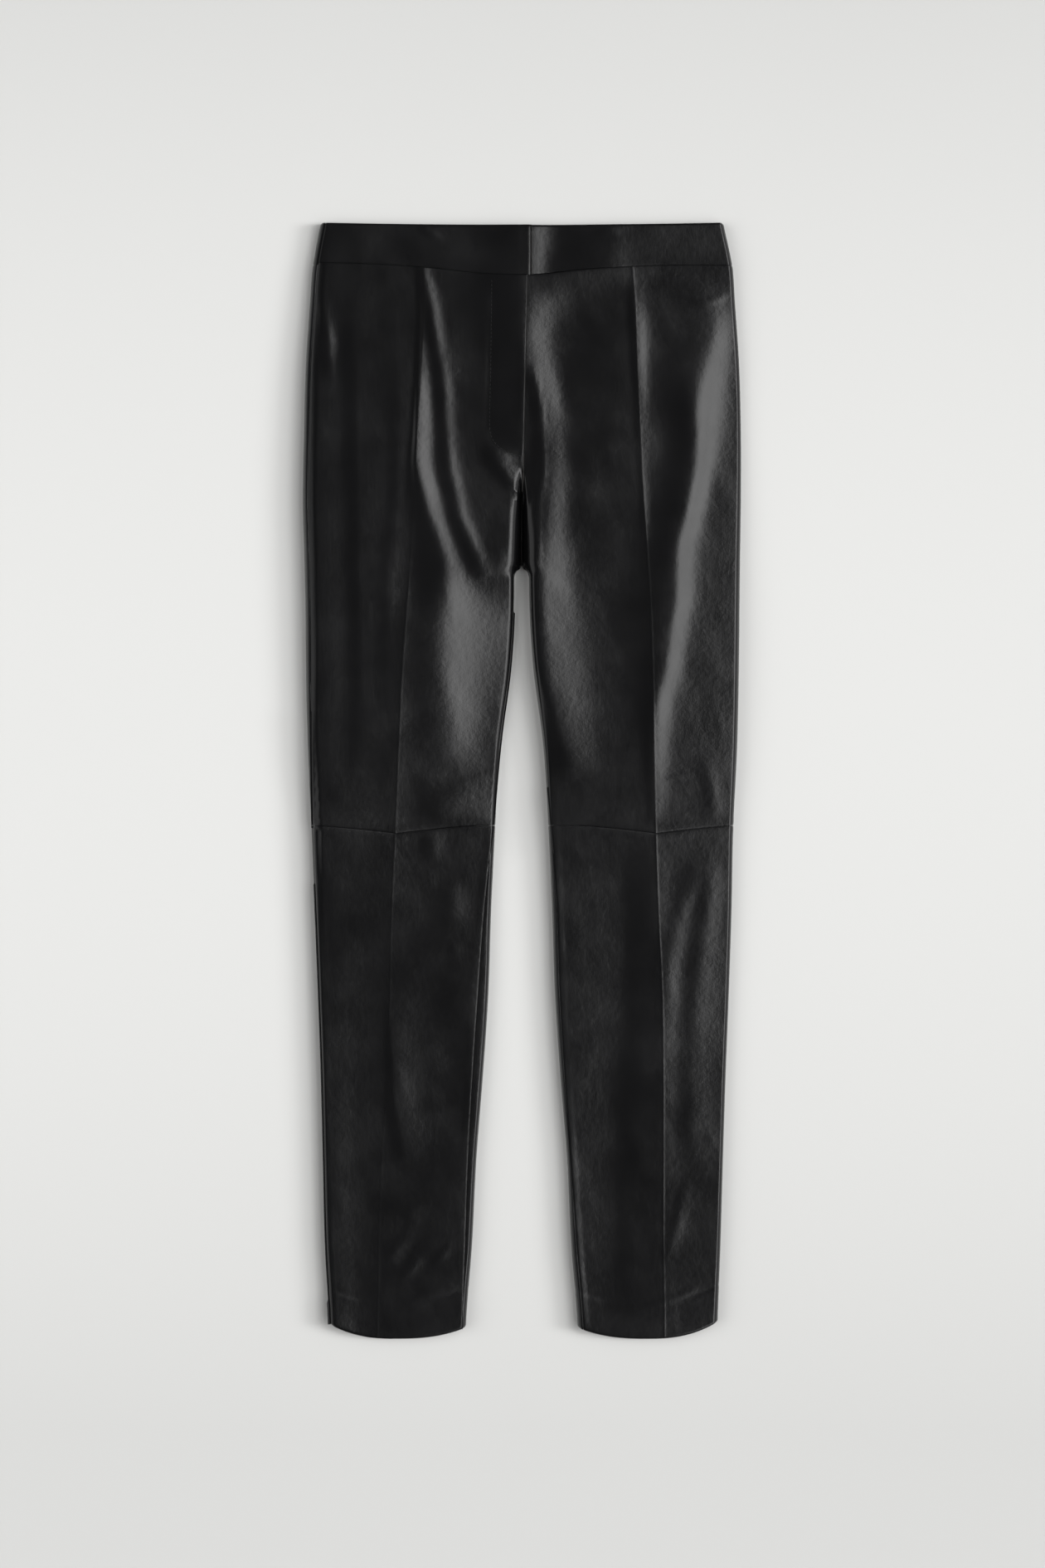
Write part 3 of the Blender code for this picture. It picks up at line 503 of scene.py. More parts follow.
def above_fork(y):
    """0 on the legs, 1 above the crotch."""
    return np.clip((y - CROTCH + FORK) / FORK, 0, 1)


def front_section(side, u, y, band=False):
    """World x and z on a front's outer face, u running from its inner edge (0) over the crease to 1."""
    inner_seam = seam_station(side, -1.0, y)
    outer_seam = seam_station(side, 1.0, y)
    station = np.where(u < 0.5, -inner_seam * np.clip(1 - 2 * u, 0, 1), outer_seam * np.clip(2 * u - 1, 0, 1))
    x, z = leg_section(side, station, y)
    left = float(side == "l")
    if band:
        edge = SIDES[side] * BAND_EDGE + 0.0 * y
        lap = BAND_UNDERLAP * left
        step = BAND_STEP * left + 0.0 * y
        run = BAND_FADE
    else:
        edge = SIDES[side] * centre("x", y)
        lap = (FLY_LAP + SEAM_GAP) * left * ease(VALLEY_TOP - LAP_START, VALLEY_TOP, y)
        step = FLY_STEP * left * ease(*STEP_START, y)
        run = LAP_FADE
    leg_edge = leg_section(side, -inner_seam, y)[0]
    seat_x, seat_z = seat_section(side, np.minimum(x, leg("crease_" + side, y)), leg_edge, y, edge, lap)
    share = above_fork(y) * (u < 0.5)
    x = SIDES[side] * between(x, seat_x, share)
    z = between(z, seat_z, share)
    under = ease(edge + LAP_CLEARANCE + run, edge + LAP_CLEARANCE, x) * share
    seam = np.where(u < 0.5, inner_seam, outer_seam)
    whole = np.minimum(FOLDS_WHOLE, seam - FOLDS_FADE)
    fade = between(np.clip((seam - np.abs(station)) / (seam - whole), 0, 1), 1, share)
    return x, z - step * under + fold_height(BAND_FOLDS if band else FRONT_FOLDS, x, y) * fade


def back_section(side, u, y):
    """The same for a back, u running from its inner edge (0) under the leg to its outer edge (1)."""
    at_inner = np.clip(u / BACK_FOLD_SHARE, 0, 1)
    at_outer = np.clip((u - 1 + BACK_FOLD_SHARE) / BACK_FOLD_SHARE, 0, 1)
    middle = np.clip((u - BACK_FOLD_SHARE) / (1 - 2 * BACK_FOLD_SHARE), 0, 1)
    station = np.where(u < 0.5, between(-seam_station(side, -1.0, y), -2, at_inner),
                       between(2, seam_station(side, 1.0, y), at_outer))
    x, z = leg_section(side, station, y)
    inner_foot = leg("inner", y) + leg("fold", y)
    outer_foot = leg("outer_" + side, y) - leg("fold", y)
    flat = (middle > 0) & (middle < 1)
    x = np.where(flat, between(inner_foot, outer_foot, middle), x)
    z = np.where(flat, 0.0, z)
    share = above_fork(y) * (at_inner < 1)
    x = SIDES[side] * between(x, inner_foot * at_inner, share)
    z = z * (1 - share)
    lift = fold_height(BACK_FOLDS, x, y) * ease(0, BACK_LIFT_RUN, middle) * ease(1, 1 - BACK_LIFT_RUN, middle)
    return x, z + lift


def back_band_section(t, y):
    """The same for the back of the band, t running from the right side seam to the left one."""
    right_x, right_z = back_section("r", np.clip(1 - 2 * t, 0, 1), y)
    left_x, left_z = back_section("l", np.clip(2 * t - 1, 0, 1), y)
    return np.where(t < 0.5, right_x, left_x), np.where(t < 0.5, right_z, left_z)


def hem_line(x):
    """The hem bows down between the two folds of a leg."""
    off = np.abs(x) - HEM_MIDDLE
    rise = np.where(off > 0, HEM_RISE_OUTER, HEM_RISE_INNER)
    return HEM_LOW + rise * np.clip(np.abs(off) / HEM_HALF_WIDTH, 0, 1) ** HEM_POWER


def off_crease(x, y):
    return np.abs(np.abs(x) - by_side("crease", x, y))


def front_knee_line(x):
    """Seam below the front thighs, lowest at the crease."""
    width = by_side("outer", x, KNEE_SIDE) - by_side("crease", x, KNEE_SIDE)
    return KNEE_SIDE - KNEE_DROP * (1 - np.clip(off_crease(x, KNEE_SIDE) / width, 0, 1)) ** KNEE_POWER


def back_knee_line(x):
    return KNEE_SIDE + 0.0 * x


def front_waist_line(x):
    return column(FRONT_WAIST_COLUMNS, FRONT_WAIST, "y", x)


def back_waist_line(x):
    return BACK_WAIST + 0.0 * x


def top_line(x):
    return WAIST_TOP - WAIST_DIP * (1 - np.clip(np.abs(x) / leg("outer_r", WAIST_TOP), 0, 1) ** 2)


# ---- folds and small unevenness ----

def smooth_path(points):
    """Closely spaced rows on a Catmull-Rom curve through the rows of a table."""
    knots = np.array(points, dtype=float)
    ends = np.vstack([2 * knots[0] - knots[1], knots, 2 * knots[-1] - knots[-2]])
    t = np.linspace(0, 1, PATH_STEPS, endpoint=False)[:, None]
    stretches = []
    for a, b, c, d in zip(ends, ends[1:], ends[2:], ends[3:]):
        stretches.append(0.5 * (2 * b + (c - a) * t + (2 * a - 5 * b + 4 * c - d) * t ** 2
                                + (3 * b - a - 3 * c + d) * t ** 3))
    return np.vstack(stretches + [knots[-1:]])


def run_lengths(path):
    return np.concatenate([[0], np.cumsum(np.hypot(*np.diff(path[:, :2], axis=0).T))])


def beside_path(path, x, y):
    """Signed distance from a path, and the distance along it.

    On a path that runs down, the sign is positive on its +X side; on one that runs to +X, on its +Y side.
    """
    passed = run_lengths(path)
    nearest = np.full(x.shape, np.inf)
    off = np.zeros(x.shape)
    along = np.zeros(x.shape)
    for start, end, before, after in zip(path, path[1:], passed, passed[1:]):
        run_x, run_y = end[:2] - start[:2]
        length = after - before
        t = np.clip(((x - start[0]) * run_x + (y - start[1]) * run_y) / length ** 2, 0, 1)
        gap_x = x - start[0] - t * run_x
        gap_y = y - start[1] - t * run_y
        gap = np.hypot(gap_x, gap_y)
        closer = gap < nearest
        nearest = np.where(closer, gap, nearest)
        off = np.where(closer, gap * np.sign(run_x * gap_y - run_y * gap_x), off)
        along = np.where(closer, before + t * length, along)
    return off, along


def fold_height(folds, x, y):
    """Height that a table of folds adds at the places x, y."""
    height = np.zeros(x.shape)
    for rows in folds:
        path = smooth_path(rows)
        reach = FOLD_REACH * path[:, 2:4].max()
        low_x, low_y = path[:, :2].min(axis=0) - reach
        high_x, high_y = path[:, :2].max(axis=0) + reach
        near = (x > low_x) & (x < high_x) & (y > low_y) & (y < high_y)
        if not near.any():
            continue
        off, along = beside_path(path, x[near], y[near])
        left, right, rise = (np.interp(along, run_lengths(path), path[:, k]) for k in (2, 3, 4))
        height[near] += rise * bell(off, np.where(off < 0, left, right))
    return height


def ripple(x, y, width, length, seed):
    """Uneven swells from about -1 to 1, of the stated size across and along."""
    lattice = np.random.default_rng(seed).uniform(-1, 1, (LATTICE, LATTICE))
    across = (x + LATTICE_LEAN[0] * y + LATTICE_SHIFT) / width
    along = (y + LATTICE_LEAN[1] * x + LATTICE_SHIFT) / length
    low_x = np.floor(across).astype(int)
    low_y = np.floor(along).astype(int)
    share = ease(0, 1, across - low_x)
    lower, upper = (between(lattice[(low_y + j) % LATTICE, low_x % LATTICE],
                            lattice[(low_y + j) % LATTICE, (low_x + 1) % LATTICE], share) for j in (0, 1))
    return between(lower, upper, ease(0, 1, along - low_y))


# ---- one piece of leather ----

def crowded(count):
    """Places from 0 to 1 of count spans, closer together at both ends."""
    share = np.linspace(0, 1, count + 1)
    return EVENNESS * share + (1 - EVENNESS) * (1 - np.cos(math.pi * share)) / 2


def rows_between(low, high, count):
    return between(low, high, crowded(count))


def halves(share):
    """Places from 0 to 1 whose two halves are both spaced like share."""
    return np.concatenate([0.5 * share, 0.5 + 0.5 * share[1:]])


def outer_face(section, columns, rows, edges, level):
    """Places on a piece's outer face, as an array of rows and columns.

    edges holds the lower and the upper line and whether each is a seam. level is the stretch in which the
    rows keep their height.
    """
    u, row = np.meshgrid(columns, rows)
    low_line, low_seam, high_line, high_seam = edges
    low_y = low_line(section(u, 0 * u + rows[0])[0]) + 0.5 * SEAM_GAP * low_seam
    high_y = high_line(section(u, 0 * u + rows[-1])[0]) - 0.5 * SEAM_GAP * high_seam
    y = (row + (low_y - rows[0]) * np.clip((level[0] - row) / (level[0] - rows[0]), 0, 1)
         + (high_y - rows[-1]) * np.clip((row - level[1]) / (rows[-1] - level[1]), 0, 1))
    x, z = section(u, y)
    places = np.stack([x, y, z], axis=-1)
    for edge, beside in ((0, 1), (-1, -2)):
        run = places[:, beside] - places[:, edge]
        reach = np.linalg.norm(run, axis=-1, keepdims=True)
        places[:, edge] += 0.5 * SEAM_GAP * run / reach
    return places


def front_face(side, rows, edges, level, band=False):
    columns = halves(crowded(FRONT_COLUMNS // 2))
    return outer_face(lambda u, y: front_section(side, u, y, band), columns, rows, edges, level)


def back_face(side, rows, edges, level):
    columns = np.linspace(0, 1, BACK_COLUMNS + 1)
    return outer_face(lambda u, y: back_section(side, u, y), columns, rows, edges, level)


def spans(places):
    """Lengths from place to place, across and along."""
    return [np.linalg.norm(np.diff(places, axis=axis), axis=-1) for axis in (1, 0)]


def edge_distances(places):
    """Distance of every place from the first and the last column and from the lower and the upper edge."""
    across, along = spans(places)
    from_first = np.pad(np.cumsum(across, axis=1), ((0, 0), (1, 0)))
    from_low = np.pad(np.cumsum(along, axis=0), ((1, 0), (0, 0)))
    return {"first": from_first, "last": from_first[:, -1:] - from_first,
            "low": from_low, "high": from_low[-1:] - from_low}


def new_object(name, data):
    """A new object at the origin, in the scene."""
    made = bpy.data.objects.new(name, data)
    bpy.context.collection.objects.link(made)
    return made


def mesh_object(name, bm, *materials):
    """A new object of a bmesh, which is used up."""
    mesh = bpy.data.meshes.new(name)
    bm.to_mesh(mesh)
    bm.free()
    for material in materials:
        mesh.materials.append(material)
    return new_object(name, mesh)


def shell(name, places, relief, facing, wall, materials):
    """A closed wall: the outer face with its relief, the inner face, and the cut edge round both.

    facing is 1 where the direction of the columns crossed with that of the rows points outwards, else -1.
    """
    normals = np.cross(np.gradient(places, axis=1), np.gradient(places, axis=0)) * facing
    normals /= np.linalg.norm(normals, axis=-1, keepdims=True)
    rows, columns = places.shape[0] - 1, places.shape[1] - 1
    bm = bmesh.new()
    bmesh.ops.create_grid(bm, x_segments=columns, y_segments=rows, size=0.5)
    copy = bmesh.ops.extrude_face_region(bm, geom=bm.faces[:], use_keep_orig=True)
    inner = [part for part in copy["geom"] if isinstance(part, bmesh.types.BMVert)]
    bmesh.ops.translate(bm, verts=inner, vec=(0, 0, -1))
    bmesh.ops.recalc_face_normals(bm, faces=bm.faces[:])
    if facing < 0:
        bmesh.ops.reverse_faces(bm, faces=bm.faces[:])
    for face in bm.faces:    # centres: 0 on the outer face, -0.5 on the cut edge, -1 on the inner face
        face.material_index = int(face.calc_center_median().z < -0.75)
    piece = mesh_object(name, bm, *materials)
    mesh = piece.data
    grid = np.empty(3 * len(mesh.vertices), dtype=np.float32)
    mesh.vertices.foreach_get("co", grid)
    grid = grid.reshape(-1, 3)
    at = (np.rint((grid[:, 1] + 0.5) * rows).astype(int), np.rint((grid[:, 0] + 0.5) * columns).astype(int))
    moved = np.where(grid[:, 2] > -0.5, relief[at], -wall[at])
    final = places[at] + moved[:, None] * normals[at]
    mesh.vertices.foreach_set("co", (MM * final).ravel().astype(np.float32))
    mesh.update()
    mesh.shade_smooth()
    mesh.set_sharp_from_angle(angle=math.radians(SHARP_ANGLE))
    return piece


def declare(piece, node):
    """Attaches a piece to the root body and hides the imported part of its node."""
    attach(piece, "root")
    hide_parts(node)


def away_from(far, one, other, run):
    """0 at both edges, 1 from the length run inwards."""
    return ease(0, run, np.minimum(far[one], far[other]))


def seams(hem):
    """The sewn edges of a panel."""
    return ("first", "last", "high") if hem else ("first", "last", "low", "high")


def roll(distance, depth, width=SEAM_WIDTH):
    """The leather dives into a seam or over an edge."""
    return -depth * bell(distance, width)


def seam_roll(far, edge, sewing):
    return roll(far[edge], sewing.seam_depth / MM * (INSEAM_ROLL if edge == "first" else 1))


def hem_relief(far, groove):
    """The hem's round edge, and the edge of its turn-up showing through."""
    return roll(far["low"], *HEM_EDGE) - groove * bell(far["low"] - HEM_TURN, HEM_GROOVE_WIDTH)


def front_relief(side, places, sewing, hem=False):
    """Seams, crease and small unevenness of a front, as heights over its smooth outer face."""
    far = edge_distances(places)
    x, y = places[..., 0], places[..., 1]
    relief = ripple(x, y, *FRONT_SWELLS) + 0.3 * ripple(x, y, *FRONT_SMALL_SWELLS)
    relief *= sewing.swell / MM
    relief *= away_from(far, "low", "high", SWELL_FADE_ENDS) * away_from(far, "first", "last", SWELL_FADE)
    for edge in seams(hem):
        # the seam's turned-back edge shows as a low swelling beside it
        relief += seam_roll(far, edge, sewing)
        relief += ALLOWANCE[edge] * bell(far[edge] - ALLOWANCE_MIDDLE, ALLOWANCE_WIDTH)
    crease = places.shape[1] // 2
    press = CREASE_SHARE[side] * sewing.crease_rise / MM * (0.8 + 0.3 * ripple(x, y, *CREASE_SWELLS))
    relief += press * bell(far["first"] - far["first"][:, crease:crease + 1], CREASE_WIDTH)
    if hem:
        relief += hem_relief(far, FRONT_HEM_GROOVE)
        relief += HEM_SWELL * ease(*HEM_SWELL_END, far["low"])
    return relief


def fly_relief(places):
    """The stitched-down facing of the fly: a groove along its stitches and slight puckers beside them."""
    off, along = beside_path(smooth_path(FLY_STITCH), places[..., 0], places[..., 1])
    off = np.abs(off)
    puckers = PUCKER * np.cos(2 * math.pi * along / PUCKER_PITCH) * bell(off - PUCKER_OFF, PUCKER_WIDTH)
    return (roll(off, *FLY_GROOVE) + puckers) * ease(0, 2, along)


def edge_lip(places):
    """The folded edge of the right front's band: raised a little, then round."""
    far = edge_distances(places)["first"]
    rise, middle, width = LIP
    return rise * bell(far - middle, width) + roll(far, *LIP_ROLL)


def back_relief(places, sewing, hem=False):
    """Seams, a pressed line and unevenness of a back; none of it stands out below the surface it lies on."""
    far = edge_distances(places)
    x, y = places[..., 0], places[..., 1]
    relief = -0.5 * (1 + ripple(x, y, *BACK_SWELLS)) - 0.15 * (1 + ripple(x, y, *BACK_SMALL_SWELLS))
    relief *= sewing.swell / MM * away_from(far, "first", "last", SWELL_FADE)
    off = off_crease(x, y)
    line, beside = BACK_CREASE_WIDTHS
    relief -= BACK_CREASE_DEPTH * (1 - bell(off, line)) * bell(off, beside)
    for edge in seams(hem):
        relief += seam_roll(far, edge, sewing)
    if hem:
        relief += hem_relief(far, BACK_HEM_GROOVE)
    return np.minimum(relief, 0)


def dart(places):
    """The back's waist dart, sewn to a point."""
    x, y = places[..., 0], places[..., 1]
    path = smooth_path([(np.sign(x.mean()) * end_x, end_y) for end_x, end_y in (DART_TOP, DART_POINT)])
    off, along = beside_path(path, x, y)
    return roll(off, DART_DEPTH, DART_WIDTH) * ease(*DART_FADE, along)


def band_relief(places, sewing):
    far = edge_distances(places)
    relief = BAND_SWELL * ripple(places[..., 0], places[..., 1], *BAND_SWELLS)
    relief *= away_from(far, "low", "high", SWELL_FADE)
    return relief + seam_roll(far, "low", sewing) + roll(far["high"], *BAND_TOP_ROLL)


# ---- materials; the scale of a noise is in waves per metre ----

def set_inputs(tree, node, **values):
    """Sets a node's inputs by their names, or links them where the value is another node's output."""
    for name, value in values.items():
        socket = node.inputs[name.replace("_", " ")]
        if isinstance(value, bpy.types.NodeSocket):
            tree.links.new(value, socket)
        else:
            socket.default_value = value


def add_node(tree, kind, **values):
    made = tree.nodes.new(kind)
    set_inputs(tree, made, **values)
    return made


def new_material(name):
    """A new material, its node tree, its shader and the place on the piece."""
    material = bpy.data.materials.new(name)
    material.use_nodes = True
    tree = material.node_tree
    place = add_node(tree, "ShaderNodeTexCoord").outputs["Object"]
    return material, tree, tree.nodes["Principled BSDF"], place


def noise(tree, place, scale, detail, roughness=0.5):
    return add_node(tree, "ShaderNodeTexNoise", Vector=place, Scale=scale, Detail=detail,
                    Roughness=roughness).outputs["Fac"]


def remap(tree, value, low, high, to_low=0, to_high=1):
    return add_node(tree, "ShaderNodeMapRange", Value=value, From_Min=low, From_Max=high,
                    To_Min=to_low, To_Max=to_high).outputs["Result"]


def soft_step(tree, value, low, high):
    """0 below low, 1 above high; the other way round where low is the higher one."""
    step = remap(tree, value, min(low, high), max(low, high), float(low > high), float(low < high))
    step.node.interpolation_type = "SMOOTHSTEP"
    return step


def calculate(tree, operation, *values):
    """A Math node over the values, taken two by two."""
    result = values[0]
    for value in values[1:]:
        made = tree.nodes.new("ShaderNodeMath")
        made.operation = operation
        for socket, given in zip(made.inputs, (result, value)):
            if isinstance(given, bpy.types.NodeSocket):
                tree.links.new(given, socket)
            else:
                socket.default_value = given
        result = made.outputs[0]
    return result


def shades(tree, factor, colour, first, second):
    """The colour, from first to second times its brightness by the factor."""
    mix = tree.nodes.new("ShaderNodeMix")
    mix.data_type = "RGBA"
    tree.links.new(factor, mix.inputs["Factor"])
    for socket, share in ((mix.inputs[6], first), (mix.inputs[7], second)):
        socket.default_value = (*(share * c for c in colour), 1)
    return mix.outputs[2]


def grain_side(name, leather, gloss_change=0.0):
    """Dyed nappa: near black, satin, with a fine pebble and slightly uneven gloss."""
    material, tree, shader, place = new_material(name)
    patches = remap(tree, noise(tree, place, 11, 3), 0.35, 0.7)
    gloss = leather.roughness + gloss_change
    cloudy = remap(tree, noise(tree, place, 26, 4, 0.6), 0.3, 0.72, gloss - 0.035, gloss + 0.045)
    pebbles = add_node(tree, "ShaderNodeTexVoronoi", Vector=place, Scale=1 / leather.grain)
    pebbles.feature = "SMOOTH_F1"
    pores = noise(tree, place, 0.45 / leather.grain, 3, 0.6)
    waves = add_node(tree, "ShaderNodeBump", Strength=leather.waves, Distance=0.0003,
                     Height=noise(tree, place, 170, 3, 0.6))
    bump = add_node(tree, "ShaderNodeBump", Strength=leather.grain_depth, Distance=0.0001,
                    Height=calculate(tree, "ADD", pebbles.outputs["Distance"], pores),
                    Normal=waves.outputs["Normal"])
    set_inputs(tree, shader, Base_Color=shades(tree, patches, leather.colour, 1, 1.5), IOR=leather.ior,
               Roughness=cloudy, Normal=bump.outputs["Normal"])
    return material


def flesh_side(name, leather):
    """The suede underside of the hide."""
    material, tree, shader, place = new_material(name)
    nap = noise(tree, place, 1300, 4, 0.7)
    bump = add_node(tree, "ShaderNodeBump", Strength=0.5, Distance=0.0002, Height=nap)
    set_inputs(tree, shader, Base_Color=shades(tree, remap(tree, nap, 0.3, 0.7), leather.flesh, 0.7, 1),
               Roughness=0.92, Normal=bump.outputs["Normal"])
    return material


def thread_material(name, colour):
    material, tree, shader, place = new_material(name)
    shade = shades(tree, noise(tree, place, 4000, 2), colour, 0.7, 1)
    set_inputs(tree, shader, Base_Color=shade, Roughness=0.45)
    return material


def floor_material(name, colour):
    """Matt paper, a little less bright towards both ends: a painted light falloff, with large random
    unevenness.
    """
    material, tree, shader, place = new_material(name)
    y = add_node(tree, "ShaderNodeSeparateXYZ", Vector=place).outputs["Y"]
    # painted light falloff: the colour darkens with the square of the distance from the brightest row
    off = calculate(tree, "SUBTRACT", y, FLOOR_PAINTED_LIGHT_Y)
    fall = calculate(tree, "MULTIPLY", off, off, FLOOR_PAINTED_FALLOFF)
    cloud = calculate(tree, "MULTIPLY", noise(tree, place, 1.4, 2), 0.1)
    shade = shades(tree, calculate(tree, "ADD", fall, cloud), colour, 1, FLOOR_PAINTED_FALLOFF_END_SHARE)
    set_inputs(tree, shader, Base_Color=shade, Roughness=0.9, Specular_IOR_Level=0.1)
    return material


def shared(name, make, *values):
    """The material of that name, made the first time it is asked for."""
    return bpy.data.materials.get(name) or make(name, *values)


def panel_materials(leather):
    return (shared("nappa_black", grain_side, leather), shared("suede_inner", flesh_side, leather))


def band_materials(leather):
    return (shared("nappa_band", grain_side, leather, 0.01), shared("suede_inner", flesh_side, leather))


# ---- stitches ----

def sew(name, points, pitch, length, thickness, surface, material):
    """A row of single stitches, pressed into the leather they hold."""
    tree = BVHTree.FromObject(surface, bpy.context.evaluated_depsgraph_get())
    path = smooth_path(points)
    passed = run_lengths(path)
    bm = bmesh.new()
    for middle in np.arange(FIRST_STITCH * pitch, passed[-1] - LAST_STITCH * pitch, pitch):
        ends = []
        for at in (middle - 0.5 * length, middle + 0.5 * length):
            x, y = (MM * np.interp(at, passed, path[:, k]) for k in (0, 1))
            ends.append(tree.ray_cast(Vector((x, y, 1)), Vector((0, 0, -1)))[:2])
        (start, start_normal), (end, end_normal) = ends
        if start is None or end is None:
            raise RuntimeError(f"a stitch of {name} lies beside {surface.name}")
        run = (end - start).normalized()
        up = (start_normal + end_normal).normalized()
        side = up.cross(run).normalized()
        turn = Matrix((run, side, run.cross(side))).transposed().to_4x4()
        radii = np.array((length, thickness, STITCH_FLATNESS * thickness)) * 0.5 * MM
        size = Matrix.Diagonal((*radii, 1))
        bmesh.ops.create_uvsphere(bm, u_segments=6, v_segments=4, radius=1,
                                  matrix=Matrix.Translation((start + end) / 2) @ turn @ size)
    piece = mesh_object(name, bm, material)
    piece.data.shade_smooth()
    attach(piece, "root")
    return piece


def fly_stitches(piece, sewing):
    """The stitch line that holds the fly's facing, and the tack below it."""
    sizes = (sewing.stitch_pitch, sewing.stitch_length, sewing.thread)
    pitch, length, thickness = (size / MM for size in sizes)
    thread = shared("thread_black", thread_material, sewing.thread_colour)
    return [sew("stitches_fly", FLY_STITCH, pitch, length, thickness, piece, thread),
            sew("tack_fly", FLY_TACK, *np.multiply(TACK_SHARES, (pitch, length, thickness)), piece, thread)]


# ---- the add-on ----

LENGTH = {"unit": "LENGTH", "subtype": "DISTANCE"}
SHARE = {"subtype": "FACTOR", "max": 1}
COLOUR = {"subtype": "COLOR", "size": 3, "min": 0, "max": 1}
LIGHT = {"min": 0, "max": 20}


class LeatherSettings(bpy.types.PropertyGroup):
    """Colour, gloss and grain of the leather."""
    colour: FloatVectorProperty(
        name="Grain side", description="Colour of the dyed grain side",
        default=(0.0022, 0.0022, 0.0024), **COLOUR)
    flesh: FloatVectorProperty(
        name="Flesh side", description="Colour of the suede inner side",
        default=(0.022, 0.021, 0.020), **COLOUR)
    roughness: FloatProperty(name="Roughness", description="Low is glossy", default=0.20, min=0.05, **SHARE)
    ior: FloatProperty(
        name="Refraction", description="Refractive index of the finish", default=1.6, min=1.3, max=2)
    grain: FloatProperty(
        name="Grain", description="Size of one pebble of the grain",
        default=0.0009, min=0.0002, max=0.005, **LENGTH)
    grain_depth: FloatProperty(
        name="Grain depth", description="How strongly the grain shows", default=0.12, min=0, **SHARE)
    waves: FloatProperty(
        name="Waves", description="Depth of the fine waves between the grain and the folds",
        default=0.45, min=0, **SHARE)


class SewingSettings(bpy.types.PropertyGroup):
    """Seams, creases and thread."""
    crease_rise: FloatProperty(
        name="Crease", description="Height of the pressed line down each leg",
        default=0.0001, min=0, max=0.002, **LENGTH)
    seam_depth: FloatProperty(
        name="Seam", description="How far the leather dives into a seam",
        default=0.00035, min=0, max=0.001, **LENGTH)
    swell: FloatProperty(
        name="Unevenness", description="Height of the small swells of soft leather",
        default=0.00022, min=0, max=0.002, **LENGTH)
    stitch_pitch: FloatProperty(
        name="Stitch pitch", description="From one stitch to the next",
        default=0.0036, min=0.001, max=0.01, **LENGTH)
    stitch_length: FloatProperty(
        name="Stitch length", description="Length of one stitch",
        default=0.0028, min=0.001, max=0.01, **LENGTH)
    thread: FloatProperty(
        name="Thread", description="Thickness of the thread", default=0.0005, min=0.0001, max=0.002, **LENGTH)
    thread_colour: FloatVectorProperty(
        name="Thread colour", description="Colour of the thread", default=(0.006, 0.006, 0.006), **COLOUR)


class StageSettings(bpy.types.PropertyGroup):
    """Floor, camera and studio light."""
    floor_colour: FloatVectorProperty(
        name="Floor", description="Colour of the floor", default=(0.50, 0.50, 0.491), **COLOUR)
    camera_height: FloatProperty(
        name="Camera height", description="Height of the camera over the floor",
        default=4.5, min=1, max=10, **LENGTH)
    view_height: FloatProperty(
        name="View", description="Length of floor that the picture's long side shows",
        default=1.4175, min=0.5, max=5, **LENGTH)
    key: FloatProperty(name="Key light", description="Radiance of the large softbox", default=3.0, **LIGHT)
    beside: FloatProperty(
        name="Beside the key", description="Radiance of the room beyond the softbox", default=0.5, **LIGHT)
    far_side: FloatProperty(
        name="Far side", description="Radiance of the wall opposite the softbox", default=0.5, **LIGHT)
    ceiling: FloatProperty(name="Ceiling", description="Radiance of the dark ceiling", default=0.04, **LIGHT)
    low: FloatProperty(
        name="Low lamp", description="Strength of the low lamp that gives the long soft shadows",
        default=2.6, **LIGHT)
    middle: FloatProperty(
        name="Middle lamp", description="Strength of the lamp above it", default=1.6, **LIGHT)
    fill: FloatProperty(
        name="Fill lamp", description="Strength of the lamp that opens the shadows beside the legs",
        default=1.5, **LIGHT)


class TrousersSettings(bpy.types.PropertyGroup):
    """All settings of the trousers."""
    leather: PointerProperty(type=LeatherSettings)
    sewing: PointerProperty(type=SewingSettings)
    stage: PointerProperty(type=StageSettings)


def add_panel(node, places, relief, facing, settings, hem=False, sewn_on=None):
    """One panel of the legs and what is sewn on it. Its wall is double in the hem."""
    edge = HEM_LOW + HEM_TURN
    layers = 1 + hem * ease(edge + HEM_STEP, edge - HEM_STEP, places[..., 1])
    piece = shell("panel_" + node, places, relief, facing, WALL * layers, panel_materials(settings.leather))
    extras = sewn_on(piece, settings.sewing) if sewn_on else []
    declare(piece, node)


class TROUSERS_OT_fronts(bpy.types.Operator):
    """Upper fronts from waist seam to knee seam, with the fly's stitched edge on the right one."""
    bl_idname = "trousers.fronts"
    bl_label = "Upper fronts"

    def execute(self, context):
        settings = context.scene.trousers
        rows = rows_between(KNEE_SIDE, BACK_WAIST, THIGH_ROWS)
        for side, sign in SIDES.items():
            places = front_face(side, rows, (front_knee_line, True, front_waist_line, True), LEVEL_THIGH)
            relief = front_relief(side, places, settings.sewing)
            if side == "r":
                relief += fly_relief(places)
            add_panel("front_thigh_" + side, places, relief, sign, settings,
                      sewn_on=fly_stitches if side == "r" else None)
        return {"FINISHED"}


class TROUSERS_OT_lower_fronts(bpy.types.Operator):
    """Lower fronts from knee seam to hem."""
    bl_idname = "trousers.lower_fronts"
    bl_label = "Lower fronts"

    def execute(self, context):
        settings = context.scene.trousers
        rows = rows_between(HEM_LOW, KNEE_SIDE, SHIN_ROWS)
        for side, sign in SIDES.items():
            places = front_face(side, rows, (hem_line, False, front_knee_line, True), LEVEL_SHIN)
            relief = front_relief(side, places, settings.sewing, hem=True)
            add_panel("front_shin_" + side, places, relief, sign, settings, hem=True)
        return {"FINISHED"}


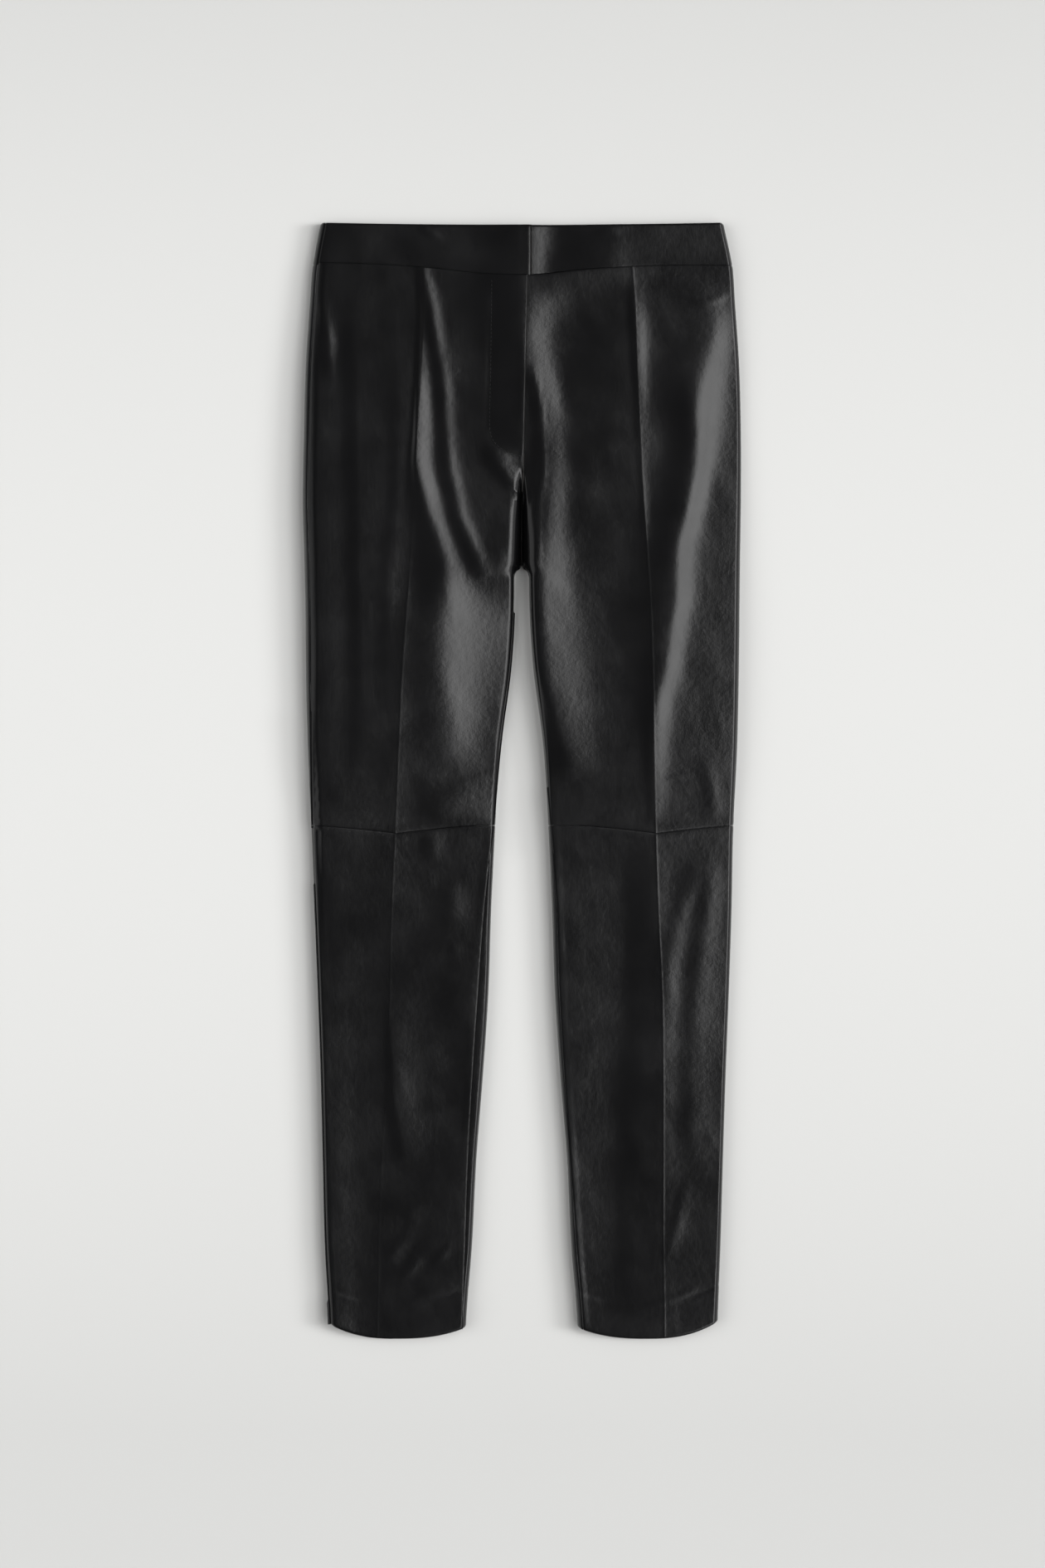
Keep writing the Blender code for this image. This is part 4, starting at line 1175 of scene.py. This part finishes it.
class TROUSERS_OT_backs(bpy.types.Operator):
    """Upper and lower backs, which the trousers lie on."""
    bl_idname = "trousers.backs"
    bl_label = "Backs"

    def execute(self, context):
        settings = context.scene.trousers
        upper = rows_between(KNEE_SIDE, BACK_WAIST, BACK_THIGH_ROWS)
        lower = rows_between(HEM_LOW, KNEE_SIDE, BACK_SHIN_ROWS)
        for side, sign in SIDES.items():
            places = back_face(side, upper, (back_knee_line, True, back_waist_line, True), LEVEL_THIGH)
            relief = back_relief(places, settings.sewing) + dart(places)
            add_panel("back_thigh_" + side, places, relief, -sign, settings)
            places = back_face(side, lower, (hem_line, False, back_knee_line, True), LEVEL_SHIN)
            relief = back_relief(places, settings.sewing, hem=True)
            add_panel("back_shin_" + side, places, relief, -sign, settings, hem=True)
        return {"FINISHED"}


class TROUSERS_OT_waistband(bpy.types.Operator):
    """The waistband's three lengths, folded double."""
    bl_idname = "trousers.waistband"
    bl_label = "Waistband"

    def execute(self, context):
        settings = context.scene.trousers
        rows = rows_between(BACK_WAIST, WAIST_TOP, BAND_ROWS)
        materials = band_materials(settings.leather)
        for side, sign in SIDES.items():
            places = front_face(side, rows, (front_waist_line, True, top_line, False), LEVEL_BAND, band=True)
            relief = band_relief(places, settings.sewing)
            relief += seam_roll(edge_distances(places), "last", settings.sewing)
            if side == "r":
                relief += edge_lip(places)
            piece = shell("band_front_" + side, places, relief, sign, BAND_WALL + 0 * relief, materials)
            declare(piece, "waistband_front_" + side)
        columns = halves(np.linspace(0, 1, BACK_COLUMNS + 1))
        edges = (back_waist_line, True, top_line, False)
        places = outer_face(back_band_section, columns, rows, edges, LEVEL_BAND)
        relief = np.minimum(band_relief(places, settings.sewing) - BAND_SINK, 0)
        piece = shell("band_back", places, relief, -1, BAND_WALL + 0 * relief, materials)
        declare(piece, "waistband_back")
        return {"FINISHED"}


def studio_world(stage):
    """Softboxes on the +X side of a dark room, far away; a plain pale backdrop where the camera sees it.

    The places of the lights are direction cosines: 0 is straight above, 1 is on the horizon.
    """
    world = bpy.data.worlds.new("studio")
    world.use_nodes = True
    tree = world.node_tree
    tree.nodes.clear()
    direction = add_node(tree, "ShaderNodeTexCoord").outputs["Generated"]
    axes = add_node(tree, "ShaderNodeSeparateXYZ", Vector=direction).outputs
    across = axes["X"]
    along = calculate(tree, "ABSOLUTE", axes["Y"], 0)
    key = calculate(tree, "MULTIPLY", soft_step(tree, across, *KEY_NEAR), soft_step(tree, across, *KEY_FAR),
                    soft_step(tree, along, *KEY_ENDS), stage.key)
    beside = calculate(tree, "MULTIPLY", soft_step(tree, across, *BESIDE_KEY), stage.beside)
    far_side = calculate(tree, "MULTIPLY", soft_step(tree, across, *FAR_SIDE), stage.far_side)
    strength = calculate(tree, "ADD", key, beside, far_side, stage.ceiling)
    room = add_node(tree, "ShaderNodeBackground", Color=(1, 1, 1, 1), Strength=strength)
    backdrop = add_node(tree, "ShaderNodeBackground", Color=BACKDROP, Strength=1.0)
    seen = add_node(tree, "ShaderNodeLightPath").outputs["Is Camera Ray"]
    choice = add_node(tree, "ShaderNodeMixShader", Fac=seen)
    tree.links.new(room.outputs[0], choice.inputs[1])
    tree.links.new(backdrop.outputs[0], choice.inputs[2])
    add_node(tree, "ShaderNodeOutputWorld", Surface=choice.outputs[0])
    bpy.context.scene.world = world


def lamp(name, elevation, softness, strength):
    """A far lamp that lights the floor and the leather but isn't mirrored in them.

    The elevation is counted from the horizon on the +X side, so above 90 the lamp stands on the -X side.
    """
    data = bpy.data.lights.new(name, "SUN")
    data.angle = math.radians(softness)
    data.energy = strength
    made = new_object(name, data)
    made.rotation_euler = (0, math.radians(90 - elevation), 0)
    made.visible_glossy = False


class TROUSERS_OT_stage(bpy.types.Operator):
    """Floor, camera straight above it, and studio light from the wearer's left."""
    bl_idname = "trousers.stage"
    bl_label = "Stage"

    def execute(self, context):
        stage = context.scene.trousers.stage
        bm = bmesh.new()
        bmesh.ops.create_grid(bm, x_segments=1, y_segments=1, size=FLOOR_HALF)
        bmesh.ops.translate(bm, verts=bm.verts[:], vec=(0, 0, FLOOR_Z))
        # the floor's material holds a painted light falloff towards both ends
        floor = mesh_object("floor", bm, floor_material("floor_paper", stage.floor_colour))
        camera_data = bpy.data.cameras.new("camera")
        camera_data.sensor_width = SENSOR
        camera_data.lens = SENSOR * (stage.camera_height - SCALE_HEIGHT) / stage.view_height
        camera = new_object("camera", camera_data)
        camera.location = (*CAMERA_PLACE, stage.camera_height)
        context.scene.camera = camera
        for name, elevation, softness in LAMPS:
            lamp(name + "_lamp", elevation, softness, getattr(stage, name))
        studio_world(stage)
        context.scene.view_settings.view_transform = "Standard"
        return {"FINISHED"}


OPERATORS = (TROUSERS_OT_stage, TROUSERS_OT_fronts, TROUSERS_OT_lower_fronts, TROUSERS_OT_backs,
             TROUSERS_OT_waistband)


class TROUSERS_PT_panel(bpy.types.Panel):
    """The steps of making the trousers, and their settings."""
    bl_label = "Trousers"
    bl_space_type = "VIEW_3D"
    bl_region_type = "UI"
    bl_category = "Trousers"

    def draw(self, context):
        for operator in OPERATORS:
            self.layout.operator(operator.bl_idname)
        settings = context.scene.trousers
        for group in (settings.leather, settings.sewing, settings.stage):
            box = self.layout.box()
            for name in group.__annotations__:
                box.prop(group, name)


CLASSES = (LeatherSettings, SewingSettings, StageSettings, TrousersSettings, *OPERATORS, TROUSERS_PT_panel)


def register():
    for entry in CLASSES:
        bpy.utils.register_class(entry)
    bpy.types.Scene.trousers = PointerProperty(type=TrousersSettings)


def unregister():
    del bpy.types.Scene.trousers
    for entry in reversed(CLASSES):
        bpy.utils.unregister_class(entry)


def main():
    register()
    for operator in OPERATORS:
        group, name = operator.bl_idname.split(".")
        getattr(getattr(bpy.ops, group), name)()


if __name__ == "__main__":
    main()
